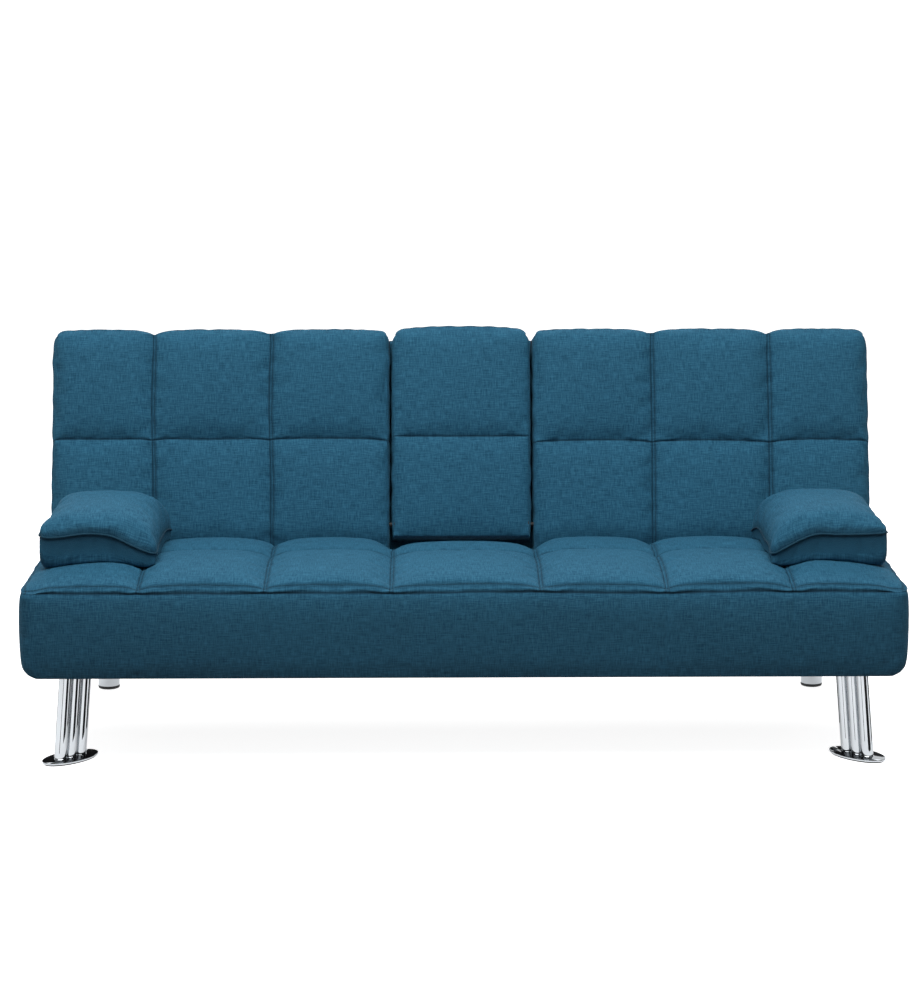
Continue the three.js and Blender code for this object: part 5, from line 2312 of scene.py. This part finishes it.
class Structure:
    """Finishes for the frame, base and hinges, whose shapes are already right."""

    def build(self, finishes: Finishes) -> None:
        """Gives every carried-over node its finish and softened edges.

        Args:
            finishes: The sofa's finishes.
        """
        timber_x = ["seat_front_rail", "seat_rear_rail", "back_bottom_rail"]
        timber_y = ["seat_left_rail", "seat_right_rail", "seat_left_cross_rail", "seat_right_cross_rail"]
        stained = [
            "back_left_stile", "back_right_stile", "back_board", "back_top_rail", "back_left_inner_stile",
            "back_right_inner_stile", "console_frame"
        ]
        steel = ["base_left_rail", "base_right_rail", "base_crossbar"]
        zinc: list[str] = []
        dull: list[str] = []
        for side in Side:
            w = side.word
            steel += [f"hinge_{w}_seat_arm", f"hinge_{w}_back_arm"]
            dull.append(f"console_{w}_hinge")
            zinc += [f"hinge_{w}_pawl", f"hinge_{w}_pawl_spring", f"hinge_{w}_rivet"]
        groups = (
            (timber_x, finishes.rail_x, 0.0012),
            (timber_y, finishes.rail_y, 0.0012),
            (stained, finishes.stained, 0.0010),
            (steel, finishes.black_steel, 0.0004),
            (zinc, finishes.zinc, 0.0003),
            (dull, finishes.rubber, 0.0003),
            (["stop_left_pad", "stop_right_pad"], finishes.rubber, 0.0015),
        )
        for names, material, edge in groups:
            for name in names:
                self._dress(name, material, edge)
        self._springs(finishes)

    def _dress(self, name: str, material: bpy.types.Material, edge: float) -> None:
        """Gives one node its finish.

        Args:
            name: The node's name.
            material: Its finish.
            edge: How far its edges are softened.
        """
        obj = bpy.data.objects[name]
        for slot in obj.material_slots:
            slot.material = material
        if edge:
            bevel = obj.modifiers.new("softened edges", "BEVEL")
            bevel.width = edge
            bevel.segments = 2
            bevel.limit_method = "ANGLE"
            bevel.angle_limit = math.radians(35)
        log.info("%s", name)

    def _springs(self, finishes: Finishes) -> None:
        """Draws the sinuous springs as round wire.

        Args:
            finishes: The sofa's finishes.
        """
        for n in range(1, 6):
            lo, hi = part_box(f"seat_spring_{n}")
            middle, sway = (lo.x + hi.x) / 2, (hi.x - lo.x) / 2 - 0.002
            waves = round((hi.y - lo.y) / 0.048)
            t = np.linspace(0, 1, waves * 24 + 1)
            swing = np.sin(2 * math.pi * waves * t)
            x = middle + sway * np.sign(swing) * np.abs(swing) ** 0.8
            path = np.column_stack([x, lo.y + (hi.y - lo.y) * t, np.full(len(t), (lo.z + hi.z) / 2)])
            wire = Hardware()
            wire.rod(path, 0.0019, 8)
            wire.piece(f"seat_wire_spring_{n}", finishes.zinc, "base", "black_steel", [f"seat_spring_{n}"])


@dataclass
class DustCover:
    """Thin black cloth under the seat, with staples along its edges."""

    sag: float = 0.0025
    tuck: float = 0.030

    def build(self, finishes: Finishes) -> None:
        """Makes the cloth and its staples.

        Args:
            finishes: The sofa's finishes.
        """
        lo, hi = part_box("seat_dust_cover")
        lo.x, hi.x = lo.x + self.tuck, hi.x - self.tuck
        legs = []
        for side in Side:
            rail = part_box(f"base_{side.word}_rail")
            spin = -math.pi / 4 if side is Side.LEFT else -3 * math.pi / 4
            legs.append(((rail[0].x + rail[1].x) / 2, FRONT + Legs.setback, math.cos(spin), math.sin(spin)))
        xs = spaced(hi.x - lo.x, 0.012, (), ()) + lo.x
        ys = spaced(hi.y - lo.y, 0.012, (), ()) + lo.y

        def clear(p: np.ndarray) -> np.ndarray:
            """Distance from the holes for the front legs.

            Args:
                p: Places on the flat cloth, one row each.

            Returns:
                Distances in metres.
            """
            d = np.full(len(p), 1.0)
            for x, y, c, s in legs:
                along = (p[:, 0] - x) * c + (p[:, 1] - y) * s
                across = -(p[:, 0] - x) * s + (p[:, 1] - y) * c
                d = np.minimum(d, np.hypot(np.maximum(np.abs(along) - 0.0234, 0), across) - 0.016)
            return d

        flat, faces = perforated(xs, ys, clear)
        x, y = flat.T
        edge = np.minimum.reduce([x - lo.x, hi.x - x, y - lo.y, hi.y - y])
        z = (lo.z + hi.z) / 2 - self.sag * ramp(edge, 0.03, 0.16) * ramp(clear(flat), 0.0, 0.1)
        z += 0.0005 * ripple(flat, 0.05, 51) * np.exp(-edge / 0.05)
        mesh = cloth_mesh("dust_cover", np.column_stack([x, y, z]), [f[::-1] for f in faces], flat)
        obj = link("seat_dust_cloth", mesh, finishes.fleece, "base")
        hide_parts("seat_dust_cover")
        staples = Stitches(0.010, 0.035, 0.0006)
        inset = 0.012
        z = lo.z + 0.0002
        ring = [
            (lo.x + inset, lo.y + inset), (hi.x - inset, lo.y + inset), (hi.x - inset, hi.y - inset),
            (lo.x + inset, hi.y - inset), (lo.x + inset, lo.y + inset)
        ]
        for (ax, ay), (bx, by) in zip(ring[:-1], ring[1:]):
            line = np.linspace((ax, ay, z), (bx, by, z), 60)
            staples.sew(line, np.tile([0.0, 0.0, -1.0], (len(line), 1)))
        staples.piece("seat_dust_cloth_staples", finishes.zinc, "base")
        log.info("seat_dust_cloth")


@dataclass(frozen=True)
class Studio:
    """A white sweep, soft lights and the camera."""

    eye: tuple[float, float, float] = (-0.074, 5.0, 1.4905)
    pitch: float = 11.041
    yaw: float = 0.783
    lens: float = 99.14

    def build(self) -> None:
        """Sets everything up."""
        self._camera()
        self._sweep()
        self._lights()
        scene = bpy.context.scene
        scene.view_settings.view_transform = "Standard"
        scene.view_settings.look = "None"

    def _camera(self) -> None:
        """Places the camera."""
        data = bpy.data.cameras.new("camera")
        data.lens = self.lens
        data.sensor_width = 36.0
        data.clip_end = 60.0
        cam = bpy.data.objects.new("camera", data)
        cam.location = (self.eye[0], FRONT - self.eye[1], self.eye[2])
        cam.rotation_euler = (math.radians(90 - self.pitch), 0.0, math.radians(-self.yaw))
        bpy.context.scene.collection.objects.link(cam)
        bpy.context.scene.camera = cam

    def _sweep(self) -> None:
        """Lays a pale floor that curves up behind."""
        rows = [(-60.0, 0.0), (4.0, 0.0)]
        rows += [
            (4.0 + 2.0 * math.sin(a), 2.0 - 2.0 * math.cos(a)) for a in np.linspace(0.1, math.pi / 2, 14)
        ]
        rows.append((6.0, 7.0))
        points = [(x, y, z) for y, z in rows for x in (-60.0, 60.0)]
        faces = [(2 * n, 2 * n + 1, 2 * n + 3, 2 * n + 2) for n in range(len(rows) - 1)]
        mesh = bpy.data.meshes.new("sweep")
        mesh.from_pydata(points, [], faces)
        mesh.polygons.foreach_set("use_smooth", [True] * len(mesh.polygons))
        obj = bpy.data.objects.new("studio_floor", mesh)
        bpy.context.scene.collection.objects.link(obj)
        r = Recipe("studio_white")
        haze = r.noise(r.place(), 1.5, 2.0)
        fixed = {"Specular IOR Level": 0.0, "Emission Color": (1.0, 1.0, 1.0), "Emission Strength": 0.88}
        shade = r.mix(haze, (0.80, 0.80, 0.80), (0.83, 0.83, 0.83))
        mesh.materials.append(r.finish(fixed, {"Base Color": shade, "Roughness": 0.9 + haze * 0.05}))
        obj.visible_diffuse = False

    def _lights(self) -> None:
        """Hangs the lights."""
        world = bpy.data.worlds.new("studio_air")
        bpy.context.scene.world = world
        world.use_nodes = True
        tree = world.node_tree
        back = tree.nodes["Background"]
        place = tree.nodes.new("ShaderNodeTexCoord")
        parts = tree.nodes.new("ShaderNodeSeparateXYZ")
        shade = tree.nodes.new("ShaderNodeValToRGB")
        stops = shade.color_ramp.elements
        stops[0].position, stops[0].color = 0.0, (0.09, 0.095, 0.10, 1.0)
        stops[1].position, stops[1].color = 0.75, (0.55, 0.56, 0.57, 1.0)
        tree.links.new(place.outputs["Generated"], parts.inputs[0])
        tree.links.new(parts.outputs[2], shade.inputs[0])
        tree.links.new(shade.outputs[0], back.inputs[0])
        back.inputs[1].default_value = 0.75
        self._panel("overhead", (-0.2, -1.35, 3.3), (0.0, -0.05, 0.3), (4.2, 1.3), 132.0)
        self._panel("fill", (0.0, -4.5, 2.6), (0.0, 0.0, 0.35), (3.0, 2.0), 9.0)
        self._panel("rim", (0.0, 2.3, 2.6), (0.0, 0.1, 0.5), (3.6, 1.0), 40.0)
        cards = ((44, 0.150), (104, 0.110), (-24, 0.026), (-140, 0.120), (172, 0.060))
        for side in Side:
            for end in ("front", "rear"):
                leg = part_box(f"{end}_{side.word}_leg")
                middle = (leg[0] + leg[1]) / 2
                for n, (turn, wide) in enumerate(cards):
                    a = math.radians(turn)
                    at = (middle.x + 0.20 * math.sin(a), middle.y - 0.20 * math.cos(a), 0.085)
                    self._flag(
                        f"{end}_{side.word}_card_{n}", at, (middle.x, middle.y, 0.085), (wide, 0.165)
                    )

    @staticmethod
    def _flag(
        name: str,
        at: tuple[float, float, float],
        aim: tuple[float, float, float],
        size: tuple[float, float]
    ) -> None:
        """Stands a dark card where only polished metal sees it.

        Args:
            name: The card's name.
            at: Where it stands.
            aim: What it faces.
            size: Width and height.
        """
        mesh = bpy.data.meshes.new(name)
        a, b = size[0] / 2, size[1] / 2
        mesh.from_pydata([(-a, -b, 0), (a, -b, 0), (a, b, 0), (-a, b, 0)], [], [(0, 1, 2, 3)])
        r = Recipe(name)
        nap = r.noise(r.place(), 60.0, 2.0)
        mesh.materials.append(
            r.finish(
                {},
                {
                    "Base Color": r.mix(nap, (0.004, 0.004, 0.005), (0.010, 0.010, 0.011)),
                    "Roughness": 0.8 + nap * 0.1
                }
            )
        )
        obj = bpy.data.objects.new(name, mesh)
        obj.location = at
        obj.rotation_euler = (Vector(aim) - Vector(at)).to_track_quat("-Z", "Y").to_euler()
        bpy.context.scene.collection.objects.link(obj)
        obj.visible_camera = obj.visible_diffuse = obj.visible_shadow = False

    @staticmethod
    def _panel(
        name: str,
        at: tuple[float, float, float],
        aim: tuple[float, float, float],
        size: tuple[float, float],
        power: float
    ) -> None:
        """Adds one soft light.

        Args:
            name: The light's name.
            at: Where it stands.
            aim: What it faces.
            size: Width and height.
            power: Its power in watts.
        """
        data = bpy.data.lights.new(name, "AREA")
        data.shape = "RECTANGLE"
        data.size, data.size_y = size
        data.energy = power
        obj = bpy.data.objects.new(name, data)
        obj.location = at
        obj.rotation_euler = (Vector(aim) - Vector(at)).to_track_quat("-Z", "Y").to_euler()
        bpy.context.scene.collection.objects.link(obj)


def main() -> None:
    """Builds every sub-assembly in order."""
    logging.basicConfig(level=logging.INFO, format="%(name)s: %(message)s")
    Studio().build()
    finishes = Finishes()
    seat = SeatUnit().build(finishes)
    Structure().build(finishes)
    DustCover().build(finishes)
    Legs().build(finishes)
    BackUnit().build(finishes)
    ConsoleUnit().build(finishes)
    PillowPair().build(finishes, seat)


if __name__ == "__main__":
    main()
